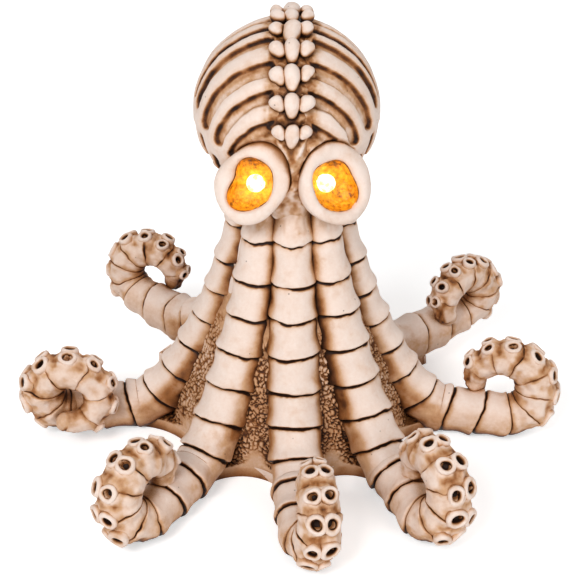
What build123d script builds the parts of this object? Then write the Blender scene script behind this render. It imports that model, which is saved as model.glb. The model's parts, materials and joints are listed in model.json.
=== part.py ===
from build123d import *
import math
import os

# Octopus figurine: a resin casting of an octopus skeleton with two lit eyes, standing on its
# curled arms, with a battery box and a slide switch in the underside of the body.
# Millimetres, +Z up. The face looks along -Y and +X is to its right as the viewer sees it.
# The origin is on the floor under the middle of the footprint.

os.makedirs("parts", exist_ok=True)

# Fits and overruns
overrun = 2.0
slide_clearance = 0.2
seat_gap = 0.1

# Body core: the flared middle that the arms lie on, with the webs between them
skirt_radius = 50.0
web_edge_radius = 36.0
core_height = 72.0
channel_radius = 7.0
scallop_share = 0.88
# outline from the skirt's edge up to the neck, as shares of the skirt radius and the core height
core_outline_shares = (
    (1.0, 0.0), (1.0, 0.044), (0.72, 0.048), (0.665, 0.17), (0.57, 0.33), (0.495, 0.485),
    (0.42, 0.65), (0.36, 0.805), (0.312, 0.944), (0.296, 1.0),
)

# Arms: a row of bony plates along a centre line that leaves the neck, runs down the body,
# out over the floor and up into a curl
arm_reach = 71.0
foot_reach = 48.0
neck_radius = 11.0
neck_height = 82.0
run_height = 6.5
curl_radius = 10.0
arm_thickness = 7.4
body_plates = 10
curl_plates = 9
centreline_steps = 60
# how far the centre line's two handles stand out from its ends
neck_flare = 4.0
foot_flare = 17.0
handle_height_share = 0.54
# shares of arm_thickness along the body, at the shares of its length that stand first
body_girth_shares = ((0.0, 0.73), (0.3, 0.89), (0.6, 1.0), (0.85, 0.95), (1.0, 0.865))
curl_girth_shares = ((0.0, 0.865), (0.4, 0.77), (0.88, 0.60), (1.0, 0.34))
# one plate: shares of its length, and of the girth there
plate_shares = ((0.0, 0.93), (0.12, 1.0), (0.5, 0.955), (0.94, 1.06))
keel_width_share = 0.84
keel_top_share = 3.6
# heading, swing, yaw and turn in degrees, then shares of the sizes above: reach, foot, run
# height, first and last curl radius, sideways shift and rise of the run, and the shift's power
arm_shares = {
    "arm_front": (1, 0, 0, 285, 1.0, 1.0, 1.0, 0.95, 0.9, 0.85, 0, 0.6),
    "arm_front_left": (-37, 2, -20, 262, 1.032, 1.0, 1.0, 1.0, 0.86, -0.66, 0, 0.8),
    "arm_front_right": (41, -7.5, 7, 272, 1.04, 1.04, 1.0, 1.0, 0.88, 0.66, 0, 0.8),
    "arm_left": (-82, 0, 0, 345, 0.937, 0.96, 1.05, 1.04, 0.74, 1.3, 0, 1),
    "arm_right": (79, 0, 0, 285, 0.93, 0.96, 1.05, 1.03, 0.92, 0.8, 0, 1),
    "arm_rear_left": (-124, 0, 0, 272, 0.817, 0.79, 2.9, 0.96, 0.86, -0.66, 0.46, 1),
    "arm_rear_right": (122, 0, 0, 280, 0.9, 0.79, 1.7, 0.98, 0.88, -0.7, 0.6, 1),
    "arm_rear": (180, 0, 0, 282, 0.99, 0.99, 1.08, 0.98, 0.88, 0.72, 0, 1),
}
keeled_arms = ("arm_front", "arm_front_left", "arm_front_right", "arm_left", "arm_right", "arm_rear")

# Suckers: pairs of raised rings with a blind mouth, along the outside of each curl
sucker_share = 0.42
sucker_top_share = 0.88
sucker_rise = 1.1
mouth_share = 0.46
mouth_depth = 1.5
sucker_splay = 21
sucker_place_shares = (0.18, 0.32, 0.46, 0.6, 0.74, 0.87)

# Mantle: the round head behind the eyes, a brown core under a pierced white shell
mantle_radius = 26.2
mantle_height = 98.5
mantle_back = 7.0
mantle_shift = -1.2
shell_thickness = 1.9
shell_bottom = 79.0
chamber_radius = 13.0
chamber_height = 15.0
# neck under the mantle, from the core's top up: height above it, radius and share of mantle_back
neck_rise = 18.0
neck_shares = ((0.0, 0.56, 0.0), (0.33, 0.66, 0.4), (0.67, 0.745, 0.7), (1.0, 0.79, 1.0))
# slots between the ribs: each lies in a plane across the head, given by its upper and lower end
# as shares of mantle_radius behind and above the mantle's middle, and its share of slot_width
slot_width = 3.6
slot_shares = (
    ((-0.11, 0.98), (-0.1, 0.24), 0.67),
    ((-0.33, 0.93), (-0.26, 0.2), 0.97),
    ((-0.635, 0.78), (-0.5, 0.07), 1.15),
    ((-0.845, 0.56), (-0.69, -0.05), 0.78),
    ((-0.985, 0.3), (-0.81, -0.15), 0.6),
)
low_slot_shares = (
    ((-0.17, -0.1), (-0.2, -0.4), 0.7),
    ((-0.4, -0.14), (-0.44, -0.36), 0.7),
    ((-0.58, -0.3), (-0.55, -0.45), 0.6),
)
slot_overhang_share = 0.3
low_slot_reach_share = 0.55

# Spine: a ridge over the crown with a row of three knobs at each vertebra
spine_shift = 0.2
spine_width = 13.0
ridge_rise = 0.8
spine_start = 13
spine_pitch = 16.2
spine_rows = 12
spine_front = 5
spine_back = 204
knob_radius = 2.3
knob_length = 4.4
knob_tip_radius = 0.7
side_knob_share = 0.86
side_knob_offset = 4.45
side_knob_lean = 24

# Eyes: rim, gilt bowl and 5 mm lamp, all on one axis
eye_spread = 11.3
eye_shift = 0.7
eye_forward = 20.0
eye_height = 89.2
# how far each eye looks out to its own side: left, right
eye_splay_shares = (0.13, 0.41)
eye_tilt_share = 0.45
eye_face_share = 0.84
eye_hole_radius = 6.5
rim_width = 3.9
rim_straight = 1.0
rim_clearance = 6.0
cup_depth = 13.5
cup_back_radius = 4.8
bowl_depth = 7.8
bowl_thickness = 0.6
lamp_radius = 2.5
lamp_flange_radius = 2.9
lamp_flange_thickness = 1.0
lamp_length = 8.5
lamp_setback = 3.4
leg_side = 0.5
leg_spacing = 2.54
leg_length = 5.5

# Button cells and the box that holds them
cell_radius = 5.8
cell_length = 5.4
cell_count = 3
cell_cap_radius = 4.6
cell_cap_height = 0.3
contact_thickness = 0.4
contact_width = 4.0
spring_reach = 2.6
cell_clearance = 0.3
box_wall = 1.4
box_back = -2.6
base_recess = 0.8
flange_thickness = 1.6
flange_length = 38.0
flange_width = 26.0
flange_corner = 2.5
pocket_headspace = 9.0
pocket_margin = 0.8

# Battery door and its screws
door_length = 30.0
door_width = 13.2
door_corner = 1.2
screw_spacing = 25.2
screw_radius = 1.0
screw_head_radius = 1.9
screw_head_height = 1.1
screw_length = 5.6
screw_slot_width = 0.6
screw_slot_depth = 0.5

# Slide switch
switch_length = 8.8
switch_width = 4.0
switch_height = 3.6
switch_back = 7.5
switch_travel = 2.0
slider_length = 2.4
slider_width = 1.8
slider_proud = 0.5
slide_block_length = 4.0
slide_block_width = 2.5
slide_block_height = 1.6
pin_radius = 0.45
pin_pitch = 2.2
pin_length = 3.4

# Wires from the lamps down to the battery box
wire_radius = 0.55
wire_spread = 2.2
wire_back = 1.6
wire_lead = 4.5
wire_bend = 4.0
link_bend = 1.8
link_rise_share = 0.25
wire_gather = 66.0
wire_part = 30.0

# Worked-out sizes
mantle_centre = (mantle_shift, mantle_back, mantle_height)
flange_top = base_recess + flange_thickness
cell_pocket_height = 2 * cell_radius + 2 * cell_clearance
box_top = flange_top + cell_pocket_height + box_wall
pocket_top = box_top + pocket_headspace
stack_length = cell_count * cell_length
pocket_half_length = (stack_length + 2 * contact_thickness + spring_reach + 2 * seat_gap) / 2
cell_axis_height = flange_top + cell_clearance + cell_radius
stack_end = pocket_half_length - contact_thickness - seat_gap
pin_top = flange_top + switch_height + pin_length


def offset_point(point, direction, distance):
    return tuple(p + d * distance for p, d in zip(point, direction))


def unit(vector):
    size = math.hypot(*vector)
    return tuple(v / size for v in vector)


def cross(a, b):
    return (a[1] * b[2] - a[2] * b[1], a[2] * b[0] - a[0] * b[2], a[0] * b[1] - a[1] * b[0])


def stepwise(shares, place):
    # straight-line reading of a table of (place, value) shares
    for (a, low), (b, high) in zip(shares, shares[1:]):
        if place <= b:
            return low + (high - low) * (place - a) / (b - a)
    return shares[-1][1]


def radial(azimuth):
    # level unit vector away from the middle, zero towards the face
    angle = math.radians(azimuth)
    return (math.sin(angle), -math.cos(angle), 0)


def arm_centreline(shares):
    # points, headings and running length of one arm, and where its curl begins
    heading, swing, yaw, turn = shares[:4]
    reach = arm_reach * shares[4]
    foot = foot_reach * shares[5]
    low = run_height * shares[6]
    first_curl = curl_radius * shares[7]
    last_curl = curl_radius * shares[8]
    shift = curl_radius * shares[9]
    rise = run_height * shares[10]
    power = shares[11]
    points = []
    headings = []
    handles = (
        (neck_radius, neck_height),
        (neck_radius + neck_flare, neck_height * handle_height_share),
        (foot - foot_flare, low + run_height),
        (foot, low),
    )
    level = []
    for step in range(centreline_steps):
        t = step / (centreline_steps - 1)
        weights = ((1 - t) ** 3, 3 * (1 - t) ** 2 * t, 3 * (1 - t) * t**2, t**3)
        out = sum(w * h[0] for w, h in zip(weights, handles))
        up = sum(w * h[1] for w, h in zip(weights, handles))
        level.append((out, up))
    run_steps = centreline_steps // 6
    for step in range(1, run_steps):
        t = step / (run_steps - 1)
        level.append((foot + (reach - foot) * t, low + rise * t**1.5))
    for out, up in level:
        azimuth = heading + swing * (out / reach) ** 2
        points.append(offset_point((0, 0, up), radial(azimuth), out))
        headings.append(azimuth)
    curl_start = len(points) - 1
    slope = math.atan2(1.5 * rise, reach - foot)
    leaving = heading + swing + math.degrees(math.atan(2 * math.radians(swing)))
    base = points[-1]
    curl_steps = centreline_steps + run_steps * 3
    for step in range(1, curl_steps):
        f = step / (curl_steps - 1)
        angle = math.radians(turn) * f
        bend = first_curl + (last_curl - first_curl) * f
        out = -first_curl * math.sin(slope) + bend * math.cos(angle - math.pi / 2 + slope)
        up = first_curl * math.cos(slope) + bend * math.sin(angle - math.pi / 2 + slope)
        ease = min(1, angle / (math.pi / 2))
        facing = leaving + yaw * ease * ease * (3 - 2 * ease)
        side = shift * f**power
        spot = offset_point((base[0], base[1], base[2] + up), radial(facing), out)
        points.append(offset_point(spot, radial(facing + 90), side))
        headings.append(facing)
    lengths = [0]
    for a, b in zip(points, points[1:]):
        lengths.append(lengths[-1] + math.dist(a, b))
    return points, headings, lengths, curl_start


def arm_station(line, place):
    # point, tangent and sideways vector at a running length
    points, headings, lengths, curl_start = line

    def spot(s):
        s = min(max(s, 0), lengths[-1])
        for i in range(len(lengths) - 1):
            if s <= lengths[i + 1]:
                break
        f = (s - lengths[i]) / (lengths[i + 1] - lengths[i])
        p = tuple(a + (b - a) * f for a, b in zip(points[i], points[i + 1]))
        return p, headings[i] + (headings[i + 1] - headings[i]) * f

    stride = lengths[-1] / centreline_steps / 2
    point, facing = spot(place)
    before = spot(place - stride)[0]
    after = spot(place + stride)[0]
    tangent = unit(tuple(b - a for a, b in zip(before, after)))
    level = radial(facing + 90)
    dot = sum(a * b for a, b in zip(level, tangent))
    sideways = unit(tuple(a - dot * b for a, b in zip(level, tangent)))
    return point, tangent, sideways


def arm_girth(line, place):
    # half thickness of the arm at a running length
    start = line[2][line[3]]
    end = line[2][-1]
    if place <= start:
        return arm_thickness * stepwise(body_girth_shares, place / start)
    return arm_thickness * stepwise(curl_girth_shares, (place - start) / (end - start))


def plate_edges(line):
    # running lengths of the cracks between the plates
    start = line[2][line[3]]
    end = line[2][-1]
    edges = [start * i / body_plates for i in range(body_plates)]
    edges += [start + (end - start) * i / curl_plates for i in range(curl_plates + 1)]
    return edges


# Body core
with BuildPart() as core_envelope:
    with BuildSketch(Plane.XZ):
        with BuildLine():
            outline = [(skirt_radius * r, core_height * z) for r, z in core_outline_shares]
            Polyline((0, 0), *outline, (0, core_height), close=True)
        make_face()
    revolve(axis=Axis.Z)
    # the web's edge is a hollow arc between each two arms
    names = list(arm_shares)
    bearings = sorted(arm_shares[n][0] + arm_shares[n][1] * (foot_reach / arm_reach) ** 2 for n in names)
    for here, following in zip(bearings, bearings[1:] + [bearings[0] + 360]):
        half_gap = math.radians((following - here) / 2)
        reach_share = 1 / (1 - scallop_share * math.sin(half_gap))
        centre = offset_point((0, 0, 0), radial((here + following) / 2), web_edge_radius * reach_share)
        with Locations(centre):
            Cylinder(
                web_edge_radius * (reach_share - 1),
                core_height / 2,
                align=(Align.CENTER, Align.CENTER, Align.CENTER),
                mode=Mode.SUBTRACT,
            )

with BuildPart() as body_core:
    add(core_envelope.part)
    # recess for the battery box's flange, the pocket above it and the wire channel
    with BuildSketch(Plane.XY):
        RectangleRounded(
            flange_length + 2 * slide_clearance, flange_width + 2 * slide_clearance, flange_corner
        )
    extrude(amount=flange_top, mode=Mode.SUBTRACT)
    with BuildSketch(Plane.XY.offset(flange_top)):
        Rectangle(flange_length - 4 * pocket_margin, flange_width - 4 * pocket_margin)
    extrude(amount=pocket_top - flange_top, mode=Mode.SUBTRACT)
    with BuildSketch(Plane.XY.offset(pocket_top)):
        Circle(channel_radius)
    extrude(amount=core_height - pocket_top, mode=Mode.SUBTRACT)

# Head: whole outer form first, to trim the arms with
mantle_plane = Plane(origin=mantle_centre, x_dir=(0, 1, 0), z_dir=(1, 0, 0))

with BuildPart() as mantle_outer:
    with Locations(mantle_plane):
        Sphere(mantle_radius)

with BuildPart() as mantle_inner:
    with Locations(mantle_plane):
        Sphere(mantle_radius - shell_thickness)

with BuildPart() as neck:
    for up, girth, back in neck_shares:
        centre = (mantle_shift * back, mantle_back * back, core_height + neck_rise * up)
        with BuildSketch(Plane(origin=centre)):
            Circle(mantle_radius * girth)
    loft(ruled=True)


def eye_frame(side):
    # middle of the rim's front, and the unit vector out of the eye
    middle = (side * eye_spread + eye_shift, -eye_forward, eye_height)
    splay = eye_splay_shares[0 if side < 0 else 1]
    return middle, unit((side * splay, -eye_face_share, eye_tilt_share))


def eye_plane(side):
    # plane through the eye's axis: local x across, local y out of the eye
    middle, outward = eye_frame(side)
    across = unit(cross((0, 0, 1), outward))
    return Plane(origin=middle, x_dir=across, z_dir=cross(across, outward))


def eye_axis(side):
    middle, outward = eye_frame(side)
    return Axis(middle, outward)


rim_crown = rim_width / 2
rim_outer_radius = eye_hole_radius + rim_width
cup_shoulder_share = 0.93
cup_waist_share = 0.7
cup_shoulder_depth_share = 0.45
cup_waist_depth_share = 0.82

# side of the eye, from the rim back to the edge of its flat back
cup_side = (
    (rim_outer_radius, -rim_crown),
    (rim_outer_radius * cup_shoulder_share, -cup_depth * cup_shoulder_depth_share),
    (rim_outer_radius * cup_waist_share, -cup_depth * cup_waist_depth_share),
    (cup_back_radius, -cup_depth),
)

# outside of the eye from the rim's inner edge round to the edge of its back
with BuildLine() as cup_line:
    ThreePointArc(
        (eye_hole_radius, -rim_crown),
        (eye_hole_radius + rim_crown, 0),
        (rim_outer_radius, -rim_crown),
    )
    Polyline(*cup_side)

# room of each eye in the head, open to the front
eye_solids = {}
for side, hand in ((-1, "left"), (1, "right")):
    with BuildPart() as eye_solid:
        with BuildSketch(eye_plane(side)):
            with BuildLine():
                Polyline(
                    (0, rim_clearance),
                    (rim_outer_radius, rim_clearance),
                    *cup_side,
                    (0, -cup_depth),
                    close=True,
                )
            make_face()
        revolve(axis=eye_axis(side))
    eye_solids[hand] = eye_solid

with BuildPart() as head_core:
    with Locations(mantle_centre):
        Sphere(mantle_radius - shell_thickness)
    add(neck.part)
    # chamber where the lamps' wires meet, open to the channel below
    with BuildSketch(Plane.XY.offset(core_height)):
        Circle(chamber_radius)
    extrude(amount=chamber_height, mode=Mode.SUBTRACT)
    for hand in eye_solids:
        add(eye_solids[hand].part, mode=Mode.SUBTRACT)

head_core.part.label = "head_core"
export_step(head_core.part, "parts/head_core.step")
body_core.part.label = "body_core"
export_step(body_core.part, "parts/body_core.step")


# White shell of the mantle: a left and a right half with the slots between the ribs
def slot_cutter(slot, side, inner_reach, back_sign, overhang):
    # a strip across the head, from inner_reach outwards on one side; back_sign -1 mirrors it
    # to the back of the head, and overhang carries its upper end on past the crown
    (top_back, top_up), (low_back, low_up), width = slot
    top = (top_back + (top_back - low_back) * overhang, top_up + (top_up - low_up) * overhang)
    ends = [
        (mantle_back + mantle_radius * back * back_sign, mantle_height + mantle_radius * up)
        for back, up in (top, (low_back, low_up))
    ]
    (top_y, top_z), (low_y, low_z) = ends
    middle = ((top_y + low_y) / 2, (top_z + low_z) / 2)
    tilt = math.degrees(math.atan2(top_z - low_z, top_y - low_y))
    start = Plane(origin=(spine_shift + side * inner_reach, 0, 0), x_dir=(0, 1, 0), z_dir=(1, 0, 0))
    with BuildPart() as strip:
        with BuildSketch(start):
            with Locations(middle):
                SlotCenterToCenter(math.dist(*ends), slot_width * width, rotation=tilt)
        extrude(amount=side * (mantle_radius + overrun))
    return strip.part


for side, hand in ((-1, "left"), (1, "right")):
    strips = []
    for back_sign in (1, -1):
        for slot in slot_shares:
            strips.append(slot_cutter(slot, side, spine_width / 2, back_sign, slot_overhang_share))
        for slot in low_slot_shares:
            strips.append(slot_cutter(slot, side, mantle_radius * low_slot_reach_share, back_sign, 0))
    with BuildPart() as mantle_half:
        add(mantle_outer.part)
        add(mantle_inner.part, mode=Mode.SUBTRACT)
        add(neck.part, mode=Mode.SUBTRACT)
        for eye in eye_solids:
            add(eye_solids[eye].part, mode=Mode.SUBTRACT)
        # only what stands beside the spine and above the shell's lower edge is kept
        edge = spine_shift + side * spine_width / 2
        with BuildSketch(Plane.XY.offset(shell_bottom)):
            with Locations((edge + side * mantle_radius, mantle_back)):
                Rectangle(2 * mantle_radius, 2 * mantle_radius + overrun)
        extrude(amount=2 * mantle_radius, mode=Mode.INTERSECT)
        for strip in strips:
            add(strip, mode=Mode.SUBTRACT)
    # crumbs cut off beside the eyes are not part of the shell
    mantle_half.part = Part(mantle_half.solids().sort_by(SortBy.VOLUME)[-1].wrapped)
    mantle_half.part.label = f"mantle_ribs_{hand}"
    export_step(mantle_half.part, f"parts/mantle_ribs_{hand}.step")


# Spine: ridge over the crown, then the knobs
def spine_spot(angle, height):
    # point on the middle line of the mantle, and the unit vectors along and away from it
    turned = math.radians(angle)
    reach = mantle_radius + height
    spot = (spine_shift, mantle_back - reach * math.cos(turned), mantle_height + reach * math.sin(turned))
    away = (0, -math.cos(turned), math.sin(turned))
    along = (0, -math.sin(turned), -math.cos(turned))
    return spot, along, away


with BuildPart() as spine:
    with Locations(mantle_plane):
        Sphere(mantle_radius + ridge_rise)
    # the ridge ends between the eyes and low on the back of the head
    ridge_reach = 2 * mantle_radius
    fan = [(mantle_back, mantle_height)]
    fan_steps = 8
    for step in range(fan_steps + 1):
        angle = math.radians(spine_front + (spine_back - spine_front) * step / fan_steps)
        fan.append((mantle_back - ridge_reach * math.cos(angle), mantle_height + ridge_reach * math.sin(angle)))
    ridge_plane = Plane(
        origin=(spine_shift - spine_width / 2, 0, 0), x_dir=(0, 1, 0), z_dir=(1, 0, 0)
    )
    with BuildSketch(ridge_plane):
        with BuildLine():
            Polyline(*fan, close=True)
        make_face()
    extrude(amount=spine_width, mode=Mode.INTERSECT)
    add(mantle_inner.part, mode=Mode.SUBTRACT)
    for row in range(spine_rows):
        angle = spine_start + spine_pitch * row
        spot, along, away = spine_spot(angle, ridge_rise)
        for place in (-1, 0, 1):
            size = knob_radius * (side_knob_share if place else 1)
            ball = offset_point(spot, (1, 0, 0), place * side_knob_offset)
            lean = math.radians(side_knob_lean) * place
            pointing = tuple(a * math.cos(lean) - s * math.sin(lean) for a, s in zip(along, (1, 0, 0)))
            with Locations(ball):
                Sphere(size)
            with Locations(Plane(origin=ball, z_dir=pointing)):
                Cone(
                    size * 0.94,
                    knob_tip_radius,
                    knob_length,
                    align=(Align.CENTER, Align.CENTER, Align.MIN),
                )

spine.part.label = "spine"
export_step(spine.part, "parts/spine.step")


# Eyes
for side, hand in ((-1, "left"), (1, "right")):
    middle, outward = eye_frame(side)
    bore = lamp_flange_radius + slide_clearance
    bowl_back = -rim_crown - rim_straight - bowl_depth
    bowl_front = -rim_crown - rim_straight
    bowl_bulge_share = 0.86

    # rim and cup in one, with the seat of the bowl and the lamp's bore
    with BuildPart() as eye_rim:
        with BuildSketch(eye_plane(side)):
            with BuildLine():
                add(cup_line.line)
                Polyline(
                    (cup_back_radius, -cup_depth),
                    (bore, -cup_depth),
                    (bore, bowl_back),
                )
                ThreePointArc(
                    (bore, bowl_back),
                    (eye_hole_radius * bowl_bulge_share, bowl_front - bowl_depth * 0.62),
                    (eye_hole_radius, bowl_front),
                )
                Line((eye_hole_radius, bowl_front), (eye_hole_radius, -rim_crown))
            make_face()
        revolve(axis=eye_axis(side))
    eye_rim.part.label = f"eye_rim_{hand}"
    export_step(eye_rim.part, f"parts/eye_rim_{hand}.step")

    # gilt bowl behind the lamp's dome
    with BuildPart() as eye_bowl:
        with BuildSketch(eye_plane(side)):
            with BuildLine():
                ThreePointArc(
                    (bore, bowl_back),
                    (eye_hole_radius * bowl_bulge_share, bowl_front - bowl_depth * 0.62),
                    (eye_hole_radius, bowl_front),
                )
                Line((eye_hole_radius, bowl_front), (eye_hole_radius - bowl_thickness, bowl_front))
                ThreePointArc(
                    (eye_hole_radius - bowl_thickness, bowl_front),
                    (
                        eye_hole_radius * bowl_bulge_share - bowl_thickness,
                        bowl_front - bowl_depth * 0.62 + bowl_thickness,
                    ),
                    (lamp_radius + slide_clearance, bowl_back + bowl_thickness),
                )
                Polyline(
                    (lamp_radius + slide_clearance, bowl_back + bowl_thickness),
                    (lamp_radius + slide_clearance, bowl_back),
                    (bore, bowl_back),
                )
            make_face()
        revolve(axis=eye_axis(side))
    eye_bowl.part.label = f"eye_bowl_{hand}"
    export_step(eye_bowl.part, f"parts/eye_bowl_{hand}.step")

    # lamp: domed body and flange
    lamp_base = -lamp_setback - lamp_length
    with BuildPart() as lamp:
        with BuildSketch(eye_plane(side)):
            with BuildLine():
                Polyline(
                    (0, -lamp_setback),
                    (0, lamp_base),
                    (lamp_flange_radius, lamp_base),
                    (lamp_flange_radius, lamp_base + lamp_flange_thickness),
                    (lamp_radius, lamp_base + lamp_flange_thickness),
                    (lamp_radius, -lamp_setback - lamp_radius),
                )
                RadiusArc((lamp_radius, -lamp_setback - lamp_radius), (0, -lamp_setback), -lamp_radius)
            make_face()
        revolve(axis=eye_axis(side))
    lamp.part.label = f"lamp_{hand}"
    export_step(lamp.part, f"parts/lamp_{hand}.step")

    # the lamp's two legs, and the wire soldered to the end of each
    legs_end = lamp_base - leg_length
    level_across = eye_plane(side).x_dir
    across = (level_across.X, level_across.Y, level_across.Z)
    if across[0] * side < 0:
        across = tuple(-a for a in across)
    for pole, place in (("anode", 1), ("cathode", -1)):
        leg_root = offset_point(
            offset_point(middle, outward, lamp_base), across, place * leg_spacing / 2
        )
        inward = tuple(-o for o in outward)
        with BuildPart() as leg:
            with BuildSketch(Plane(origin=leg_root, x_dir=across, z_dir=inward)):
                Rectangle(leg_side, leg_side)
            extrude(amount=leg_length)
        leg.part.label = f"lamp_{pole}_{hand}"
        export_step(leg.part, f"parts/lamp_{pole}_{hand}.step")

        start = offset_point(leg_root, inward, leg_length)
        depth = wire_back if pole == "anode" else box_back + contact_width / 4
        route = [
            start,
            offset_point(start, inward, wire_lead),
            (side * wire_spread, depth, wire_gather),
        ]
        if pole == "anode":
            route.append((side * wire_spread, depth, wire_part))
            route.append((side * pin_pitch, switch_back, pocket_top - pocket_headspace / 2))
            route.append((side * pin_pitch, switch_back, pin_top))
        else:
            route.append((side * wire_spread, depth, box_top + contact_thickness))
        with BuildPart() as wire:
            with BuildLine() as path:
                FilletPolyline(*route, radius=wire_bend)
            with BuildSketch(Plane(origin=path.line @ 0, z_dir=path.line % 0)):
                Circle(wire_radius)
            sweep()
        wire.part.label = f"wire_{pole}_{hand}"
        export_step(wire.part, f"parts/wire_{pole}_{hand}.step")


# Arms
for name, shares in arm_shares.items():
    line = arm_centreline(shares)
    edges = plate_edges(line)
    last = line[2][-1]
    stations = []
    for a, b in zip(edges, edges[1:]):
        for along, swell in plate_shares:
            place = a + (b - a) * along
            stations.append((place, arm_girth(line, place) * swell))
    stations.append((last, arm_girth(line, last)))

    with BuildPart() as arm:
        for place, girth in stations:
            point, tangent, sideways = arm_station(line, place)
            with BuildSketch(Plane(origin=point, x_dir=sideways, z_dir=tangent)):
                Circle(girth)
        loft(ruled=True)

        # suckers stand in pairs on the outside of the curl
        start = line[2][line[3]]
        mouths = []
        for share in sucker_place_shares:
            place = start + (last - start) * share
            point, tangent, sideways = arm_station(line, place)
            girth = arm_girth(line, place)
            outward = cross(sideways, tangent)
            for hand in (-1, 1):
                splay = math.radians(sucker_splay) * hand
                facing = unit(
                    tuple(o * math.cos(splay) + s * math.sin(splay) for o, s in zip(outward, sideways))
                )
                foot = offset_point(point, facing, girth / 2)
                with Locations(Plane(origin=foot, z_dir=facing)):
                    Cone(
                        girth * sucker_share,
                        girth * sucker_share * sucker_top_share,
                        girth / 2 + sucker_rise,
                        align=(Align.CENTER, Align.CENTER, Align.MIN),
                    )
                crown = offset_point(point, facing, girth + sucker_rise)
                mouths.append((crown, facing, girth * sucker_share * mouth_share))
        for crown, facing, size in mouths:
            with Locations(Plane(origin=crown, z_dir=facing)):
                Cylinder(
                    size,
                    2 * mouth_depth,
                    align=(Align.CENTER, Align.CENTER, Align.CENTER),
                    mode=Mode.SUBTRACT,
                )

        # below the bend the casting is solid down to the floor
        if name in keeled_arms:
            bearing = shares[0] + shares[1] * (foot_reach / arm_reach) ** 2
            outline = []
            for point in line[0][: centreline_steps]:
                if point[2] < arm_thickness * keel_top_share:
                    outline.append((math.hypot(point[0], point[1]), point[2]))
            keel_plane = Plane(
                origin=(0, 0, 0), x_dir=radial(bearing), z_dir=radial(bearing - 90)
            )
            with BuildSketch(keel_plane):
                with BuildLine():
                    Polyline(
                        (neck_radius, outline[0][1]),
                        *outline[:-1:6],
                        outline[-1],
                        (outline[-1][0], 0),
                        (neck_radius, 0),
                        close=True,
                    )
                make_face()
            extrude(amount=arm_thickness * keel_width_share, both=True)

        # the arm keeps its own sector of the body, above the floor
        bearings = sorted(arm_shares[n][0] for n in arm_shares)
        own = bearings.index(shares[0])
        before = bearings[own - 1] - (360 if own == 0 else 0)
        after = bearings[(own + 1) % len(bearings)] + (360 if own == len(bearings) - 1 else 0)
        sector_reach = 2 * arm_reach
        corners = [
            offset_point((0, 0, 0), radial(angle), sector_reach)[:2]
            for angle in ((shares[0] + before) / 2, shares[0], (shares[0] + after) / 2)
        ]
        with BuildSketch(Plane.XY):
            with BuildLine():
                Polyline((0, 0), *corners, close=True)
            make_face()
        extrude(amount=neck_height + arm_thickness + overrun, mode=Mode.INTERSECT)
        add(core_envelope.part, mode=Mode.SUBTRACT)
        add(mantle_outer.part, mode=Mode.SUBTRACT)
        add(neck.part, mode=Mode.SUBTRACT)
        for hand in eye_solids:
            add(eye_solids[hand].part, mode=Mode.SUBTRACT)

    arm.part.label = name
    export_step(arm.part, f"parts/{name}.step")


# Battery box: flange, block with the cells' pocket, and the slots for contacts and switch
block_length = 2 * pocket_half_length + 4 * box_wall + 4 * screw_head_radius
block_width = door_width + 2 * box_wall
with BuildPart() as battery_box:
    with BuildSketch(Plane.XY.offset(base_recess)):
        RectangleRounded(flange_length, flange_width, flange_corner)
    extrude(amount=flange_thickness)
    with BuildSketch(Plane.XY.offset(flange_top)):
        with Locations((0, box_back)):
            Rectangle(block_length, block_width)
    extrude(amount=box_top - flange_top)
    # the door's opening, then the pocket for the cells
    with BuildSketch(Plane.XY.offset(base_recess)):
        with Locations((0, box_back)):
            RectangleRounded(
                door_length + 2 * slide_clearance, door_width + 2 * slide_clearance, door_corner
            )
    extrude(amount=flange_thickness, mode=Mode.SUBTRACT)
    with BuildSketch(Plane.XY.offset(flange_top)):
        with Locations((0, box_back)):
            Rectangle(2 * pocket_half_length, 2 * (cell_radius + cell_clearance))
    extrude(amount=cell_pocket_height, mode=Mode.SUBTRACT)
    # pilot holes for the door's screws
    with Locations((0, box_back, flange_top)):
        with GridLocations(screw_spacing, 0, 2, 1):
            Cylinder(
                screw_radius + slide_clearance,
                screw_length,
                align=(Align.CENTER, Align.CENTER, Align.MIN),
                mode=Mode.SUBTRACT,
            )
    # slots where the contacts' tabs pass through the roof
    for side in (-1, 1):
        centre = side * (pocket_half_length - contact_thickness / 2)
        with BuildSketch(Plane.XY.offset(box_top - box_wall)):
            with Locations((centre, box_back)):
                Rectangle(contact_thickness, contact_width)
        extrude(amount=box_wall, mode=Mode.SUBTRACT)
    # the switch's window
    with BuildSketch(Plane.XY.offset(base_recess)):
        with Locations((0, switch_back)):
            Rectangle(
                slider_length + switch_travel + 2 * slide_clearance, slider_width + 2 * slide_clearance
            )
    extrude(amount=flange_thickness, mode=Mode.SUBTRACT)

battery_box.part.label = "battery_box"
export_step(battery_box.part, "parts/battery_box.step")

# Battery door with a counterbored hole at each end
with BuildPart() as battery_door:
    with BuildSketch(Plane.XY.offset(base_recess)):
        with Locations((0, box_back)):
            RectangleRounded(door_length, door_width, door_corner)
    extrude(amount=flange_thickness - seat_gap)
    chamfer(battery_door.edges().group_by(Axis.Z)[0], 3 * seat_gap)
    with Locations((0, box_back, base_recess)):
        with GridLocations(screw_spacing, 0, 2, 1):
            Cylinder(
                screw_radius + slide_clearance,
                flange_thickness,
                align=(Align.CENTER, Align.CENTER, Align.MIN),
                mode=Mode.SUBTRACT,
            )
            Cylinder(
                screw_head_radius + slide_clearance,
                screw_head_height,
                align=(Align.CENTER, Align.CENTER, Align.MIN),
                mode=Mode.SUBTRACT,
            )

battery_door.part.label = "battery_door"
export_step(battery_door.part, "parts/battery_door.step")

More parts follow.
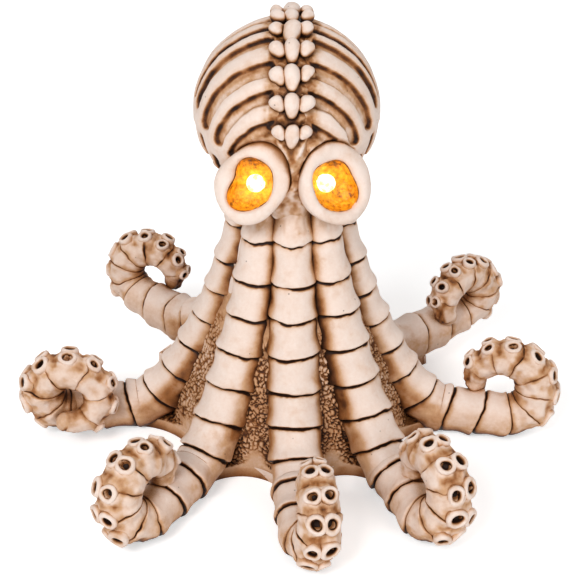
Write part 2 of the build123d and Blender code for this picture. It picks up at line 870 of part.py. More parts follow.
# Screws: cross-slotted head in the door, shank up into the box
for side, hand in ((-1, "left"), (1, "right")):
    place = (side * screw_spacing / 2, box_back, base_recess)
    with BuildPart() as screw:
        with Locations(place):
            Cylinder(
                screw_head_radius,
                screw_head_height - seat_gap,
                align=(Align.CENTER, Align.CENTER, Align.MIN),
            )
            Cylinder(screw_radius, screw_length, align=(Align.CENTER, Align.CENTER, Align.MIN))
            for angle in (0, 90):
                Box(
                    2 * screw_head_radius * 0.75,
                    screw_slot_width,
                    2 * screw_slot_depth,
                    rotation=(0, 0, angle),
                    mode=Mode.SUBTRACT,
                )
        tip = screw.edges().sort_by(Axis.Z)[-1]
        chamfer(tip, screw_radius / 2)
    screw.part.label = f"door_screw_{hand}"
    export_step(screw.part, f"parts/door_screw_{hand}.step")

# Button cells in a row, each with its narrower minus cap towards the spring
for index in range(cell_count):
    right_end = stack_end - index * cell_length
    face_plane = Plane(
        origin=(right_end, box_back, cell_axis_height), x_dir=(0, 1, 0), z_dir=(-1, 0, 0)
    )
    with BuildPart() as cell:
        with BuildSketch(face_plane):
            Circle(cell_radius)
        extrude(amount=cell_length - cell_cap_height)
        can_edges = cell.edges().group_by(Axis.X)[-1]
        fillet(can_edges, cell_cap_height)
        with BuildSketch(face_plane.offset(cell_length - cell_cap_height)):
            Circle(cell_cap_radius)
        extrude(amount=cell_cap_height)
    cell.part.label = f"cell_{index + 1}"
    export_step(cell.part, f"parts/cell_{index + 1}.step")

# Plus contact: a plate against the end wall with its tab through the roof
plate_width = 2 * cell_radius * 0.7
with BuildPart() as contact_plus:
    plus_plane = Plane(
        origin=(pocket_half_length - contact_thickness, box_back, 0), x_dir=(0, 1, 0), z_dir=(1, 0, 0)
    )
    with BuildSketch(plus_plane):
        with BuildLine():
            half = contact_width / 2
            wide = plate_width / 2
            low_edge = flange_top + cell_clearance
            roof = box_top - box_wall
            Polyline(
                (-wide, low_edge), (wide, low_edge), (wide, roof), (half, roof),
                (half, box_top + contact_thickness), (-half, box_top + contact_thickness),
                (-half, roof), (-wide, roof), close=True,
            )
        make_face()
    extrude(amount=contact_thickness)

contact_plus.part.label = "contact_plus"
export_step(contact_plus.part, "parts/contact_plus.step")

# Minus contact: a bowed leaf, its riser, and a strip along the roof for the two wires
strip_reach = wire_spread + contact_width / 2
leaf_foot = flange_top + cell_clearance + cell_radius * 0.3
leaf_head = flange_top + cell_clearance + cell_radius * 1.7
with BuildPart() as contact_minus:
    side_plane = Plane(
        origin=(0, box_back - contact_width / 2, 0), x_dir=(1, 0, 0), z_dir=(0, -1, 0)
    )
    with BuildSketch(side_plane):
        wall = -pocket_half_length
        inner = wall + contact_thickness
        apex = wall + contact_thickness + spring_reach
        with BuildLine():
            Polyline(
                (wall, leaf_foot), (wall, box_top + contact_thickness),
                (strip_reach, box_top + contact_thickness), (strip_reach, box_top),
                (inner, box_top), (inner, leaf_foot + contact_thickness),
            )
            ThreePointArc(
                (inner, leaf_foot + contact_thickness),
                (apex - contact_thickness, cell_axis_height),
                (inner + seat_gap, leaf_head),
            )
            Line((inner + seat_gap, leaf_head), (inner + seat_gap, leaf_head + contact_thickness))
            ThreePointArc(
                (inner + seat_gap, leaf_head + contact_thickness),
                (apex, cell_axis_height),
                (inner, leaf_foot),
            )
            Line((inner, leaf_foot), (wall, leaf_foot))
        make_face()
    extrude(amount=-contact_width)

contact_minus.part.label = "contact_minus"
export_step(contact_minus.part, "parts/contact_minus.step")

# Wire from the plus contact over to the switch's middle pin
with BuildPart() as wire_switch:
    with BuildLine() as path:
        tab_top = box_top + contact_thickness
        tab_place = pocket_half_length - contact_thickness / 2
        bridge = tab_top + pocket_headspace * link_rise_share
        FilletPolyline(
            (tab_place, box_back, tab_top),
            (tab_place, box_back, bridge),
            (0, switch_back, bridge),
            (0, switch_back, pin_top),
            radius=link_bend,
        )
    with BuildSketch(Plane(origin=path.line @ 0, z_dir=path.line % 0)):
        Circle(wire_radius)
    sweep()

wire_switch.part.label = "wire_switch"
export_step(wire_switch.part, "parts/wire_switch.step")

# Slide switch: hollow body with three pins on its back
block_hollow = slide_block_height + 2 * slide_clearance
with BuildPart() as switch_body:
    with BuildSketch(Plane.XY.offset(flange_top)):
        with Locations((0, switch_back)):
            Rectangle(switch_length, switch_width)
    extrude(amount=switch_height)
    with BuildSketch(Plane.XY.offset(flange_top)):
        with Locations((0, switch_back)):
            Rectangle(
                slide_block_length + switch_travel + 2 * slide_clearance,
                slide_block_width + 2 * slide_clearance,
            )
    extrude(amount=block_hollow, mode=Mode.SUBTRACT)
    with Locations((0, switch_back, flange_top + switch_height)):
        with GridLocations(pin_pitch, 0, 3, 1):
            Cylinder(pin_radius, pin_length, align=(Align.CENTER, Align.CENTER, Align.MIN))

switch_body.part.label = "switch_body"
export_step(switch_body.part, "parts/switch_body.step")

# Slider: knob in the flange's window, block inside the switch, at the lit end of its travel
slider_place = -switch_travel / 2
with BuildPart() as switch_slider:
    with BuildSketch(Plane.XY.offset(base_recess - slider_proud)):
        with Locations((slider_place, switch_back)):
            Rectangle(slider_length, slider_width)
    extrude(amount=slider_proud + flange_thickness + slide_clearance)
    with BuildSketch(Plane.XY.offset(flange_top + slide_clearance)):
        with Locations((slider_place, switch_back)):
            Rectangle(slide_block_length, slide_block_width)
    extrude(amount=slide_block_height)

switch_slider.part.label = "switch_slider"
export_step(switch_slider.part, "parts/switch_slider.step")
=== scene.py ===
import json
import math
from collections import namedtuple

import bpy
import numpy as np
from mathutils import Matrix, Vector


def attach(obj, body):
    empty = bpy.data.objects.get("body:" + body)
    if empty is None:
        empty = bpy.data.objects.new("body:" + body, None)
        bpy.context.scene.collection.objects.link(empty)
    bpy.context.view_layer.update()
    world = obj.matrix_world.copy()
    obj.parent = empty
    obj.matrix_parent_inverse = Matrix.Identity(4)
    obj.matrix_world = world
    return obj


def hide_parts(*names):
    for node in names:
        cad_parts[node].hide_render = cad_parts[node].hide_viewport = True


# Looks of the octopus skeleton figurine. Shapes are worked out in millimetres and made in metres.
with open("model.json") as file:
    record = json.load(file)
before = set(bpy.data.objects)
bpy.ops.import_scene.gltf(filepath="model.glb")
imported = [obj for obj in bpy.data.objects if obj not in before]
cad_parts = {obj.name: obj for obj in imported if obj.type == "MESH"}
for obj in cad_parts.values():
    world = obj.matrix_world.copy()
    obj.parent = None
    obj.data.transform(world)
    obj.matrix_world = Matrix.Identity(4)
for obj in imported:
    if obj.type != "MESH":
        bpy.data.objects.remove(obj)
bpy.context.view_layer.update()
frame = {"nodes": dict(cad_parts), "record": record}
MM = 0.001
ACROSS, UP = np.array((1.0, 0, 0)), np.array((0, 0, 1.0))

# Arms: sizes in millimetres, angles in degrees
ARM_REACH, FOOT_REACH = 71.0, 48.0
NECK_RADIUS, NECK_HEIGHT = 11.0, 82.0
RUN_HEIGHT, CURL_RADIUS, THICKNESS = 6.5, 9.5, 7.4
NECK_FLARE, FOOT_FLARE, HANDLE_SHARE = 4.0, 17.0, 0.54
RISE_POWER = 1.5
# girth as a share of the thickness, along the body's stretch and along the curl
BODY_GIRTH = ((0.0, 0.75), (0.15, 0.84), (0.3, 0.95), (0.45, 1.04), (0.6, 1.06), (0.85, 0.98), (1.0, 0.93))
CURL_GIRTH = ((0.0, 0.93), (0.25, 0.94), (0.5, 0.88), (0.8, 0.75), (1.0, 0.55))
# Many values of RUNS and CURLS came from scratch fits to the suckers in the photo.
# heading and swing are angles, reach and foot shares of the arms' reaches, low and rise of RUN_HEIGHT
Run = namedtuple("Run", "heading swing reach foot low rise")
RUNS = {
    "arm_front": Run(1.5, 1.2, 0.954, 1.0, 1.0, 0),
    "arm_front_left": Run(-36.5, 3, 1.006, 1.0, 1.0, 0),
    "arm_front_right": Run(40, -8.6, 0.967, 1.04, 1.0, 0),
    "arm_left": Run(-82, 0, 0.93, 0.96, 1.04, 0),
    "arm_right": Run(79, 0, 0.916, 0.96, 1.03, 0),
    "arm_rear_left": Run(-124, 0, 0.812, 0.79, 2.78, 0.5),
    "arm_rear_right": Run(122, 0, 0.897, 0.79, 1.55, 0.52),
    "arm_rear": Run(180, 0, 0.99, 0.99, 1.08, 0),
}
# yaw and turn are angles; first and last radius and the shift sideways are shares of CURL_RADIUS, and
# the shift grows by a power; slim is the girth's share at both ends; pairs of suckers sit at angles
Curl = namedtuple("Curl", "yaw turn first last shift power slim_start slim_end pair_start pair_step")
CURLS = {
    "arm_front": Curl(6, 285, 0.85, 0.765, 0.52, 0.55, 0.98, 0.86, 51, 32.4),
    "arm_front_left": Curl(-18.5, 285, 0.91, 0.8, -0.37, 0.8, 0.98, 0.95, 55.5, 32.7),
    "arm_front_right": Curl(22, 285, 0.95, 0.82, 0.56, 0.8, 0.98, 0.95, 57, 31.2),
    "arm_left": Curl(-1.6, 385, 0.954, 0.695, 1.2, 1, 0.93, 0.8, 51, 34.7),
    "arm_right": Curl(6.3, 285, 0.963, 0.89, 0.55, 1, 0.98, 0.86, 56.5, 29.9),
    "arm_rear_left": Curl(5.6, 290, 0.845, 0.745, -0.71, 1, 0.87, 0.79, 43, 29.9),
    "arm_rear_right": Curl(-2, 288, 0.877, 0.79, -0.6, 1, 0.89, 0.83, 42, 25.5),
    "arm_rear": Curl(0, 282, 0.98, 0.88, 0.72, 1, 0.92, 0.86, 54, 32),
}
# points down to the foot, along the floor, round the curl and in the finer table, which is softened
STEPS, RUN_STEPS, CURL_STEPS, FINE_STEPS, SOFTENING = 60, 10, 90, 600, 6

# Plates: how many, how far their edges sag, and how wide the cracks between them are
BODY_PLATES, CURL_PLATES = 10, 7
PLATE_SAG, CURL_SAG, CRACK_WIDTH = 1.7, 0.3, 0.42
ARM_COLUMNS, WANDER_RADIUS = 132, 9.0
# the plates' lower edges lie this much further down the arm than an even split
PLATE_SHIFT = ((0.0, 0.0), (0.1, 2.6), (0.2, 4.2), (0.85, 4.0), (1.05, 1.5), (1.2, 0.0))
# rows along one plate, with its radius there as a share of the girth
PLATE_FORM = (
    (0.0, 0.86), (0.012, 0.87), (0.03, 0.895), (0.055, 0.925), (0.09, 0.952), (0.135, 0.968), (0.19, 0.97),
    (0.25, 0.962), (0.32, 0.952), (0.39, 0.943), (0.46, 0.938), (0.53, 0.94), (0.6, 0.949), (0.66, 0.963),
    (0.72, 0.982), (0.775, 1.003), (0.825, 1.024), (0.87, 1.04), (0.905, 1.05), (0.932, 1.054),
    (0.954, 1.05), (0.971, 1.035), (0.984, 1.0), (0.993, 0.95), (1.0, 0.87),
)

# Suckers: size as a share of the girth, splay of a pair, the last one's share of the turn
SUCKER_SHARE, SUCKER_SPLAY, LAST_SUCKER = 0.38, 18.5, 0.93
# columns, the running length on either side that a sucker shapes, and the dimple under its mouth
SUCKER_COLUMNS, SUCKER_ZONE, MOUTH_DEPTH = 32, 12.0, 2.0
# radius as a share of the size, height over the arm's skin, and stain with painted shade, darkest deep in the
# mouth and at the ring's foot
SUCKER_FORM = (
    (1.16, -1.0, 0.3), (1.13, -0.1, 0.24), (1.14, 0.35, 0.16), (1.13, 0.7, 0.06), (1.08, 1.02, 0.01),
    (0.98, 1.26, 0.0), (0.86, 1.35, 0.0), (0.74, 1.3, 0.04), (0.64, 1.1, 0.16), (0.57, 0.72, 0.42),
    (0.53, 0.2, 0.72), (0.49, -0.4, 0.88), (0.4, -0.8, 0.86), (0.12, -0.95, 0.8),
)
# above this height the suckers differ in how tall they are
FREE_HEIGHT = 0.4

# Body and webs
SKIRT_RADIUS, WEB_EDGE, CORE_HEIGHT, SCALLOP = 50.0, 36.0, 72.0, 0.88
CORE_OUTLINE = (
    (0.296, 1.0), (0.312, 0.944), (0.36, 0.805), (0.42, 0.65), (0.495, 0.485), (0.57, 0.33),
    (0.665, 0.17), (0.72, 0.048), (1.0, 0.044),
)
WEB_BULGE = ((0.045, 0.0), (0.1, 1.0), (0.2, 2.0), (0.33, 2.1), (0.5, 1.0), (0.65, 0.0), (1.0, -0.6))
WEB_COLUMNS, WEB_ROWS, EDGE_ROWS, EDGE_RUN = 600, 210, 26, 14.0
SOFT_ROWS, WEB_SOFTENING = 70, 9
WALL_FLARE, WALL_SHARES = 0.35, (0.85, 0.6, 0.35, 0.12, 0.0)

# Head: middle and radius, the shell's lower edge, the spine and the slots
MANTLE = np.array((-1.2, 7.0, 98.5))
MANTLE_RADIUS, SHELL_BOTTOM = 26.2, 79.0
SPINE_X, SPINE_WIDTH, RIDGE_RISE = 0.2, 13.0, 0.8
SLOT_START, SLOT_WIDTH, SLOT_DEPTH = 5.1, 3.6, 1.45
# top and lower end, in shares of the radius along y and z from the middle, and the width's share
SLOTS = (
    ((-0.11, 0.98), (-0.1, 0.24), 0.67),
    ((-0.33, 0.93), (-0.26, 0.2), 0.97),
    ((-0.635, 0.78), (-0.5, 0.07), 1.15),
    ((-0.845, 0.56), (-0.69, -0.05), 0.78),
    ((-0.985, 0.3), (-0.81, -0.15), 0.6),
)
LOW_SLOTS = (
    ((-0.17, -0.1), (-0.2, -0.4), 0.7),
    ((-0.4, -0.14), (-0.44, -0.36), 0.7),
    ((-0.58, -0.3), (-0.55, -0.45), 0.6),
)
OVERHANG, LOW_REACH = 0.3, 0.55
SHELL_TURN, SHELL_ROWS, SHELL_COLUMNS, SHELL_OVERLAP = (-42, 222), 520, 140, 2.8
# height, middle across and back, and radius of the brown inner head
NECK_OUTLINE = (
    (71.0, 0.0, 0.0, 14.4), (76.0, -0.4, 2.3, 16.4), (82.0, -0.9, 5.2, 18.6), (88.0, *MANTLE[:2], 21.6),
    (94.0, *MANTLE[:2], 23.7), (98.5, *MANTLE[:2], 24.1), (104.0, *MANTLE[:2], 23.4),
    (110.0, *MANTLE[:2], 21.2), (116.0, *MANTLE[:2], 16.6), (120.0, *MANTLE[:2], 10.9),
    (122.3, *MANTLE[:2], 2.0),
)
NECK_ROWS, NECK_COLUMNS, NECK_MIDDLE = 90, 150, np.array((*MANTLE[:2], 95.0))

# Spine: rows of three knobs over the head, and the ridge under them, which ends in the nose
KNOB_ROWS, KNOB_START, KNOB_STEP = 12, 13.0, 16.2
KNOB_SIZE, KNOB_SPREAD, KNOB_LEAN, KNOB_COLUMNS = 2.3, 4.25, 26.0, 28
# the first rows are smaller and closer
KNOB_SHARES, SPREAD_SHARES = (0.8, 0.92, 1.0), (0.93, 1)
KNOB_FORM = (
    (0.02, -0.98), (0.3, -0.95), (0.58, -0.82), (0.82, -0.55), (0.96, -0.18), (1.0, 0.2), (0.97, 0.55),
    (0.89, 0.9), (0.8, 1.2), (0.71, 1.48), (0.61, 1.74), (0.49, 1.96), (0.35, 2.12), (0.18, 2.21),
    (0.02, 2.24),
)
RIDGE_TURN, RIDGE_ROWS, RIDGE_COLUMNS = (-50, 206), 460, 72
# by the angle over the head: the ridge's half width, the nose's rise and the nose's half width
RIDGE_WIDTH = ((-50, 10.5), (-22, 9.5), (-8, 7.5), (4, 5.6), (12, 5.4), (206, 5.4))
NOSE_RISE = ((-50, 5.6), (-44, 6.0), (-40, 5.1), (-36, 4.1), (-28, 2.9), (-18, 1.7), (-6, 1.4), (4, 0.0))
NOSE_WIDTH = ((-30, 6.0), (-12, 3.4))
NOSE_OFFSET, FOLD_OFFSET, FOLD_WIDTH, FOLD_RISE = 0.9, 1.4, 0.7, 0.55
FOLD_SPREAD = ((-7, 0.2), (9, 4.4))

# Eyes
EYE_SPREAD, EYE_SHIFT, EYE_FORWARD, EYE_HEIGHT = 11.3, 0.7, 20.0, 89.2
EYE_SPLAYS, EYE_FACE, EYE_TILT = {-1: 0.13, 1: 0.41}, 0.84, 0.45
RIM_CROWN, RIM_RADIUS, CUP_DEPTH, CUP_BACK = 1.95, 10.4, 13.5, 4.8
# outlines of the rims and holes, from a scratch fit to the photo: mean radius, then the heights of the
# cosine and the sine of 1 to 4 waves
RIM_FORMS = {
    -1: (10.65, -0.13, -0.08, -0.53, 0.99, -0.14, 0.13, 0.16, -0.17),
    1: (10.92, 0.98, -0.33, -0.51, -0.16, -0.23, -0.08, 0.0, 0.12),
}
HOLE_FORMS = {
    -1: (6.65, -0.52, -0.56, -0.75, 0.54, 0.49, -0.27, -0.31, 0.11),
    1: (6.91, 0.36, -0.97, -0.38, -0.5, -0.26, 0.0, -0.27, -0.09),
}
EYE_COLUMNS, RIM_ROWS = 156, 26
# the wall inside the hole, and the cup behind the rim as shares of its radius and of CUP_DEPTH
HOLE_HEIGHTS = (-4.2, -3.2, -2.5)
CUP_SHARES = ((0.985, 0.24), (0.95, 0.36), (0.89, 0.5), (0.81, 0.65), (0.7, 0.82), (0.5, 0.97))
# room kept free for an eye: heights and radii, and how deep skins in front of it are pressed in
EYE_ROOM = ((-CUP_DEPTH, CUP_BACK), (-11.07, 7.28), (-6.1, 9.67), (-RIM_CROWN, RIM_RADIUS))
ROOM_FRONT, ROOM_BACK, ROOM_MARGIN, PRESS_DEPTH = 12.0, -13.3, 1.0, 2.8
# the gilt bowl: radius as a share of the hole's, and height; it ends round the lamp
BOWL_SHARES = (
    (0.995, -1.5), (0.985, -2.2), (0.97, -3.0), (0.93, -3.9), (0.87, -4.7), (0.78, -5.4), (0.67, -5.9),
    (0.55, -6.2),
)
LAMP_EDGE, LAMP_BASE, LAMP_MIDDLE = 2.55, 6.5, 4.6

# Stage: places and sizes in metres, angles in degrees, lens and sensor in millimetres
FLOOR_HALF, FLOOR_LIFT, WORLD_LIGHT, AIM = 3.0, 0.46, 0.34, (0, 0, 0.05)
# place, size and power of each light
LIGHTS = {
    "key_light": ((-0.42, -0.75, 0.8), 0.45, 6.8),
    "fill_light": ((0.6, -0.8, 0.6), 0.6, 3.3),
    "back_light": ((0.15, 0.85, 0.8), 0.7, 2.6),
}
# the camera, from a scratch fit of this lens to the one first set against the photo
CAMERA_PLACE, CAMERA_DIP, CAMERA_PAN, LENS, SENSOR = (-0.0004, -0.40435, 0.29109), 31.465, 0.067, 100, 36


# Noise. Each of these takes points of any shape whose last axis is x, y, z
def lattice(cell, seed):
    # repeatable value from -1 to 1 at each whole-numbered point
    c = cell.astype(np.int64)
    h = (c[:, 0] * 374761393 + c[:, 1] * 668265263 + c[:, 2] * 1274126177 + seed * 97531) & 0xFFFFFFFF
    h = ((h ^ (h >> 15)) * 224682251) & 0xFFFFFFFF
    h = ((h ^ (h >> 13)) * 326648991) & 0xFFFFFFFF
    return (h ^ (h >> 16)) / 2147483648.0 - 1.0


def shake(seed, *numbers):
    # one repeatable value from -1 to 1 for three whole numbers
    return lattice(np.array([numbers]), seed)[0]


def lumps(points, size, seed):
    # smooth noise with lumps of that size, about -1 to 1
    p = points.reshape(-1, 3) / size
    base = np.floor(p)
    f = p - base
    f = f * f * (3 - 2 * f)
    total = np.zeros(len(p))
    for corner in np.ndindex(2, 2, 2):
        c = np.array(corner)
        weight = np.prod(np.where(c, f, 1 - f), axis=1)
        total += weight * lattice(base + c, seed)
    return total.reshape(points.shape[:-1])


def layers(points, size, seed):
    # three layers of lumps, each half as large as the one before
    return sum(lumps(points, size / 2**k, seed + 7 * k) / 1.7**k for k in range(3))


def bumps(points, seed, *waves):
    # lumps added up; each wave is (height, size)
    return sum(height * lumps(points, size, seed + k) for k, (height, size) in enumerate(waves))


def beads(points, size, seed):
    # distances to the nearest and the next of scattered spots, in bead sizes
    p = points.reshape(-1, 3) / size
    base = np.floor(p)
    near = np.full(len(p), 9.0)
    after = near.copy()
    for step in np.ndindex(3, 3, 3):
        cell = base + np.array(step) - 1
        spot = cell + 0.5 + 0.4 * np.stack([lattice(cell, seed + k) for k in range(3)], 1)
        d = np.linalg.norm(p - spot, axis=1)
        after = np.minimum(after, np.maximum(near, d))
        near = np.minimum(near, d)
    return near.reshape(points.shape[:-1]), after.reshape(points.shape[:-1])


def smooth(low, high, value):
    # eased step from 0 at low to 1 at high
    t = np.clip((value - low) / (high - low), 0, 1)
    return t * t * (3 - 2 * t)


def table(shares, value):
    xs, ys = zip(*shares)
    return np.interp(value, xs, ys)


def rows(v):
    # vectors scaled to length 1
    return v / np.linalg.norm(v, axis=-1, keepdims=True)


def around(columns):
    return np.linspace(0, 2 * math.pi, columns, endpoint=False)


# Meshes
def added(name, data):
    # a new object in the scene
    thing = bpy.data.objects.new(name, data)
    bpy.context.scene.collection.objects.link(thing)
    return thing


class Skin:
    """Vertices, faces and a value of stain and painted shade for each vertex, gathered for one mesh."""

    def __init__(self):
        self.points, self.stain_and_shade, self.faces, self.count = [], [], [], 0

    def grid(self, points, stain_and_shade, closed=True, start_cap=False, end_cap=False):
        # points: rows x columns x 3; closed joins the last column to the first
        n, m = points.shape[:2]
        index = np.arange(n * m).reshape(n, m) + self.count
        right = np.roll(index, -1, axis=1)
        if closed:
            left = index
        else:
            left, right = index[:, :-1], right[:, :-1]
        quads = np.stack([left[:-1], right[:-1], right[1:], left[1:]], -1).reshape(-1, 4)
        self.faces.extend(quads.tolist())
        if start_cap:
            self.faces.append(index[0, ::-1].tolist())
        if end_cap:
            self.faces.append(index[-1].tolist())
        self.points.append(points.reshape(-1, 3))
        self.stain_and_shade.append(np.broadcast_to(stain_and_shade, (n, m)).reshape(-1))
        self.count += n * m

    def piece(self, name, body, slot, material, *nodes, open_eyes=True):
        # nodes: what the piece replaces; open_eyes keeps it out of the room for the eyes
        points, faces = np.concatenate(self.points), self.faces
        if open_eyes:
            points = pressed_in(points)
            hidden = in_eye_room(points)
            faces = [f for f in faces if not hidden[f].all()]
        points[:, 2] = np.maximum(points[:, 2], 0)
        mesh = bpy.data.meshes.new(name)
        mesh.from_pydata((points * MM).tolist(), [], faces)
        mesh.validate()
        values = mesh.attributes.new("stain_and_shade", "FLOAT", "POINT")
        values.data.foreach_set("value", np.concatenate(self.stain_and_shade).astype(np.float32))
        mesh.polygons.foreach_set("use_smooth", [True] * len(mesh.polygons))
        mesh.materials.append(material)
        piece = added(name, mesh)
        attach(piece, body)
        if nodes:
            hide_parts(*nodes)


def frame_of(axis):
    # two unit vectors square to an axis, and the axis as a unit vector
    axis = np.array(axis, float)
    axis /= np.linalg.norm(axis)
    helper = UP if abs(axis[2]) < 0.9 else np.array((0, 1.0, 0))
    a = np.cross(helper, axis)
    a /= np.linalg.norm(a)
    return a, np.cross(axis, a), axis


def spokes(angle, a, b):
    return np.cos(angle)[..., None] * a + np.sin(angle)[..., None] * b


def turned(origin, axis, profile, columns, spread=None):
    # a lathe form: profile is (radius, height along the axis); spread changes the radius by angle
    a, b, c = frame_of(axis)
    angle = around(columns)
    r = np.array([p[0] for p in profile])[:, None] * (1 if spread is None else spread(angle)[None, :])
    h = np.array([p[1] for p in profile])[:, None, None]
    return np.array(origin) + r[..., None] * spokes(angle, a, b) + h * c


# Room for the eyes: side is -1 for the viewer's left eye and 1 for the right one
def eye_frame(side):
    middle = np.array((side * EYE_SPREAD + EYE_SHIFT, -EYE_FORWARD, EYE_HEIGHT))
    outward = np.array((side * EYE_SPLAYS[side], -EYE_FACE, EYE_TILT))
    return middle, outward / np.linalg.norm(outward)


def waved(form, angle):
    return form[0] + sum(
        form[2 * k - 1] * np.cos(k * angle) + form[2 * k] * np.sin(k * angle) for k in range(1, 5)
    )


def by_eye(points, side):
    # height along the eye's axis, distance from it and the rim's outer radius there
    middle, outward = eye_frame(side)
    a, b, c = frame_of(outward)
    off = points - middle
    height = off @ c
    flat = off - height[..., None] * c
    reach = np.linalg.norm(flat, axis=-1)
    return height, reach, waved(RIM_FORMS[side], np.arctan2(flat @ b, flat @ a))


def pressed_in(points):
    # surfaces that would stand in front of an eye's rim are pressed in behind it
    for side in (-1, 1):
        height, reach, rim = by_eye(points, side)
        weight = smooth(rim + 0.9, rim - 0.4, reach) * (height < ROOM_FRONT)
        points = points - (weight * np.maximum(height + PRESS_DEPTH, 0))[..., None] * eye_frame(side)[1]
    return points


def in_eye_room(points):
    hidden = np.zeros(points.shape[:-1], bool)
    for side in (-1, 1):
        height, reach, rim = by_eye(points, side)
        wall = table(EYE_ROOM, height)
        within = (height > ROOM_BACK) & (height < ROOM_FRONT)
        hidden |= within & (reach < np.minimum(wall, rim) - ROOM_MARGIN)
    return hidden


# Materials. Sizes in them are metres
def linear(rgb):
    return tuple(((v / 255 + 0.055) / 1.055) ** 2.4 if v > 10 else v / 255 / 12.92 for v in rgb) + (1.0,)


class Nodes:
    """Short hand for making a material's nodes."""

    def __init__(self, name):
        self.material = bpy.data.materials.new(name)
        self.material.use_nodes = True
        self.tree = self.material.node_tree
        self.shader = self.tree.nodes["Principled BSDF"]
        self.place = self.add("ShaderNodeTexCoord").outputs["Object"]

    def add(self, kind, **values):
        node = self.tree.nodes.new(kind)
        for key, value in values.items():
            setattr(node, key, value)
        return node

    def join(self, source, target):
        # source: a constant, or an output of another node
        if isinstance(source, (int, float, tuple)):
            target.default_value = source
        else:
            self.tree.links.new(source, target)

    def fill(self, node, **sources):
        # joins each source to the node's input of that name, with spaces for the name's underlines
        for name, source in sources.items():
            self.join(source, node.inputs[name.replace("_", " ")])
        return node.outputs

    def look(self, **sources):
        self.fill(self.shader, **sources)
        return self.material

    def noise(self, size, detail, rough):
        # fractal noise with lumps of that size
        node = self.add("ShaderNodeTexNoise")
        return self.fill(node, Vector=self.place, Scale=1 / size, Detail=detail, Roughness=rough)["Fac"]

    def cells(self, size):
        # distance to the nearest of scattered spots
        node = self.add("ShaderNodeTexVoronoi")
        return self.fill(node, Vector=self.place, Scale=1 / size)["Distance"]

    def maths(self, kind, *values):
        node = self.add("ShaderNodeMath", operation=kind)
        for value, inlet in zip(values, node.inputs):
            self.join(value, inlet)
        return node.outputs[0]

    def sway(self, value, amount, tone):
        # tone, raised and lowered by noise that runs from 0 to 1
        return self.maths("MULTIPLY_ADD", self.maths("SUBTRACT", value, 0.5), amount, tone)

    def remap(self, value, low, high, to_low=0.0, to_high=1.0):
        node = self.add("ShaderNodeMapRange", interpolation_type="SMOOTHSTEP")
        ends = {"From_Min": low, "From_Max": high, "To_Min": to_low, "To_Max": to_high}
        return self.fill(node, Value=value, **ends)["Result"]

    def ramp(self, value, *stops):
        # stops: place and 8-bit colour
        node = self.add("ShaderNodeValToRGB")
        ramp = node.color_ramp
        while len(ramp.elements) < len(stops):
            ramp.elements.new(0.5)
        for element, (place, colour) in zip(ramp.elements, stops):
            element.position = place
            element.color = linear(colour)
        return self.fill(node, Fac=value)["Color"]

    def mix(self, factor, a, b):
        node = self.add("ShaderNodeMix", data_type="RGBA")
        self.join(factor, node.inputs[0])
        self.join(a, node.inputs[6])
        self.join(b, node.inputs[7])
        return node.outputs[2]

    def bump(self, height, strength, distance):
        node = self.add("ShaderNodeBump")
        normal = self.fill(node, Strength=strength, Distance=distance, Height=height)["Normal"]
        self.look(Normal=normal)

    def hollow(self, distance):
        # ambient occlusion, used as a brown wash and painted shade: 0 on open surfaces, towards 1 in creases
        node = self.add("ShaderNodeAmbientOcclusion", samples=8)
        return self.maths("SUBTRACT", 1.0, self.fill(node, Distance=distance)["AO"])

    def stain_and_shade(self):
        return self.add("ShaderNodeAttribute", attribute_name="stain_and_shade").outputs["Fac"]


def resin(name, lift, wash_and_shade):
    # cast resin, bone white, browned by the value of stain and painted shade, and by a brown wash with
    # painted shade in the creases
    n = Nodes(name)
    crease = n.hollow(0.007)
    cloud, streak, fine = n.noise(0.007, 4.0, 0.6), n.noise(0.0025, 3.0, 0.6), n.noise(0.0009, 4.0, 0.65)
    # the creases' brown wash and painted shade, added to the stain and painted shade
    tone = n.maths("MULTIPLY_ADD", n.remap(crease, 0.16, 0.85), wash_and_shade, n.stain_and_shade())
    tone = n.maths("ADD", tone, n.maths("MULTIPLY", n.remap(cloud, 0.5, 0.78), 0.14))
    tone = n.sway(fine, 0.14, n.sway(streak, 0.12, tone))
    colour = n.ramp(
        n.maths("ADD", tone, lift),
        (0.0, (240, 221, 209)), (0.14, (230, 202, 183)), (0.32, (205, 160, 121)),
        (0.54, (160, 103, 57)), (0.78, (96, 53, 23)), (1.0, (38, 18, 7)),
    )
    # small dark specks in the casting
    speck = n.remap(n.cells(0.0052), 0.035, 0.06, 1.0, 0.0)
    colour = n.mix(n.maths("MULTIPLY", speck, 0.55), colour, linear((96, 64, 40)))
    pits = n.remap(n.cells(0.0013), 0.02, 0.22, 0.0, 0.5)
    n.bump(n.maths("ADD", n.maths("MULTIPLY", fine, 0.8), pits), 0.32, 0.00022)
    return n.look(Base_Color=colour, Roughness=n.remap(fine, 0.3, 0.7, 0.46, 0.66), Specular_IOR_Level=0.22)


bone = resin("bone_resin_look", 0.03, 0.56)
webbing = resin("web_resin_look", 0.0, 0.42)


# Arms
def radial(azimuth):
    angle = np.radians(azimuth)
    return np.stack([np.sin(angle), -np.cos(angle), np.zeros_like(angle)], -1)


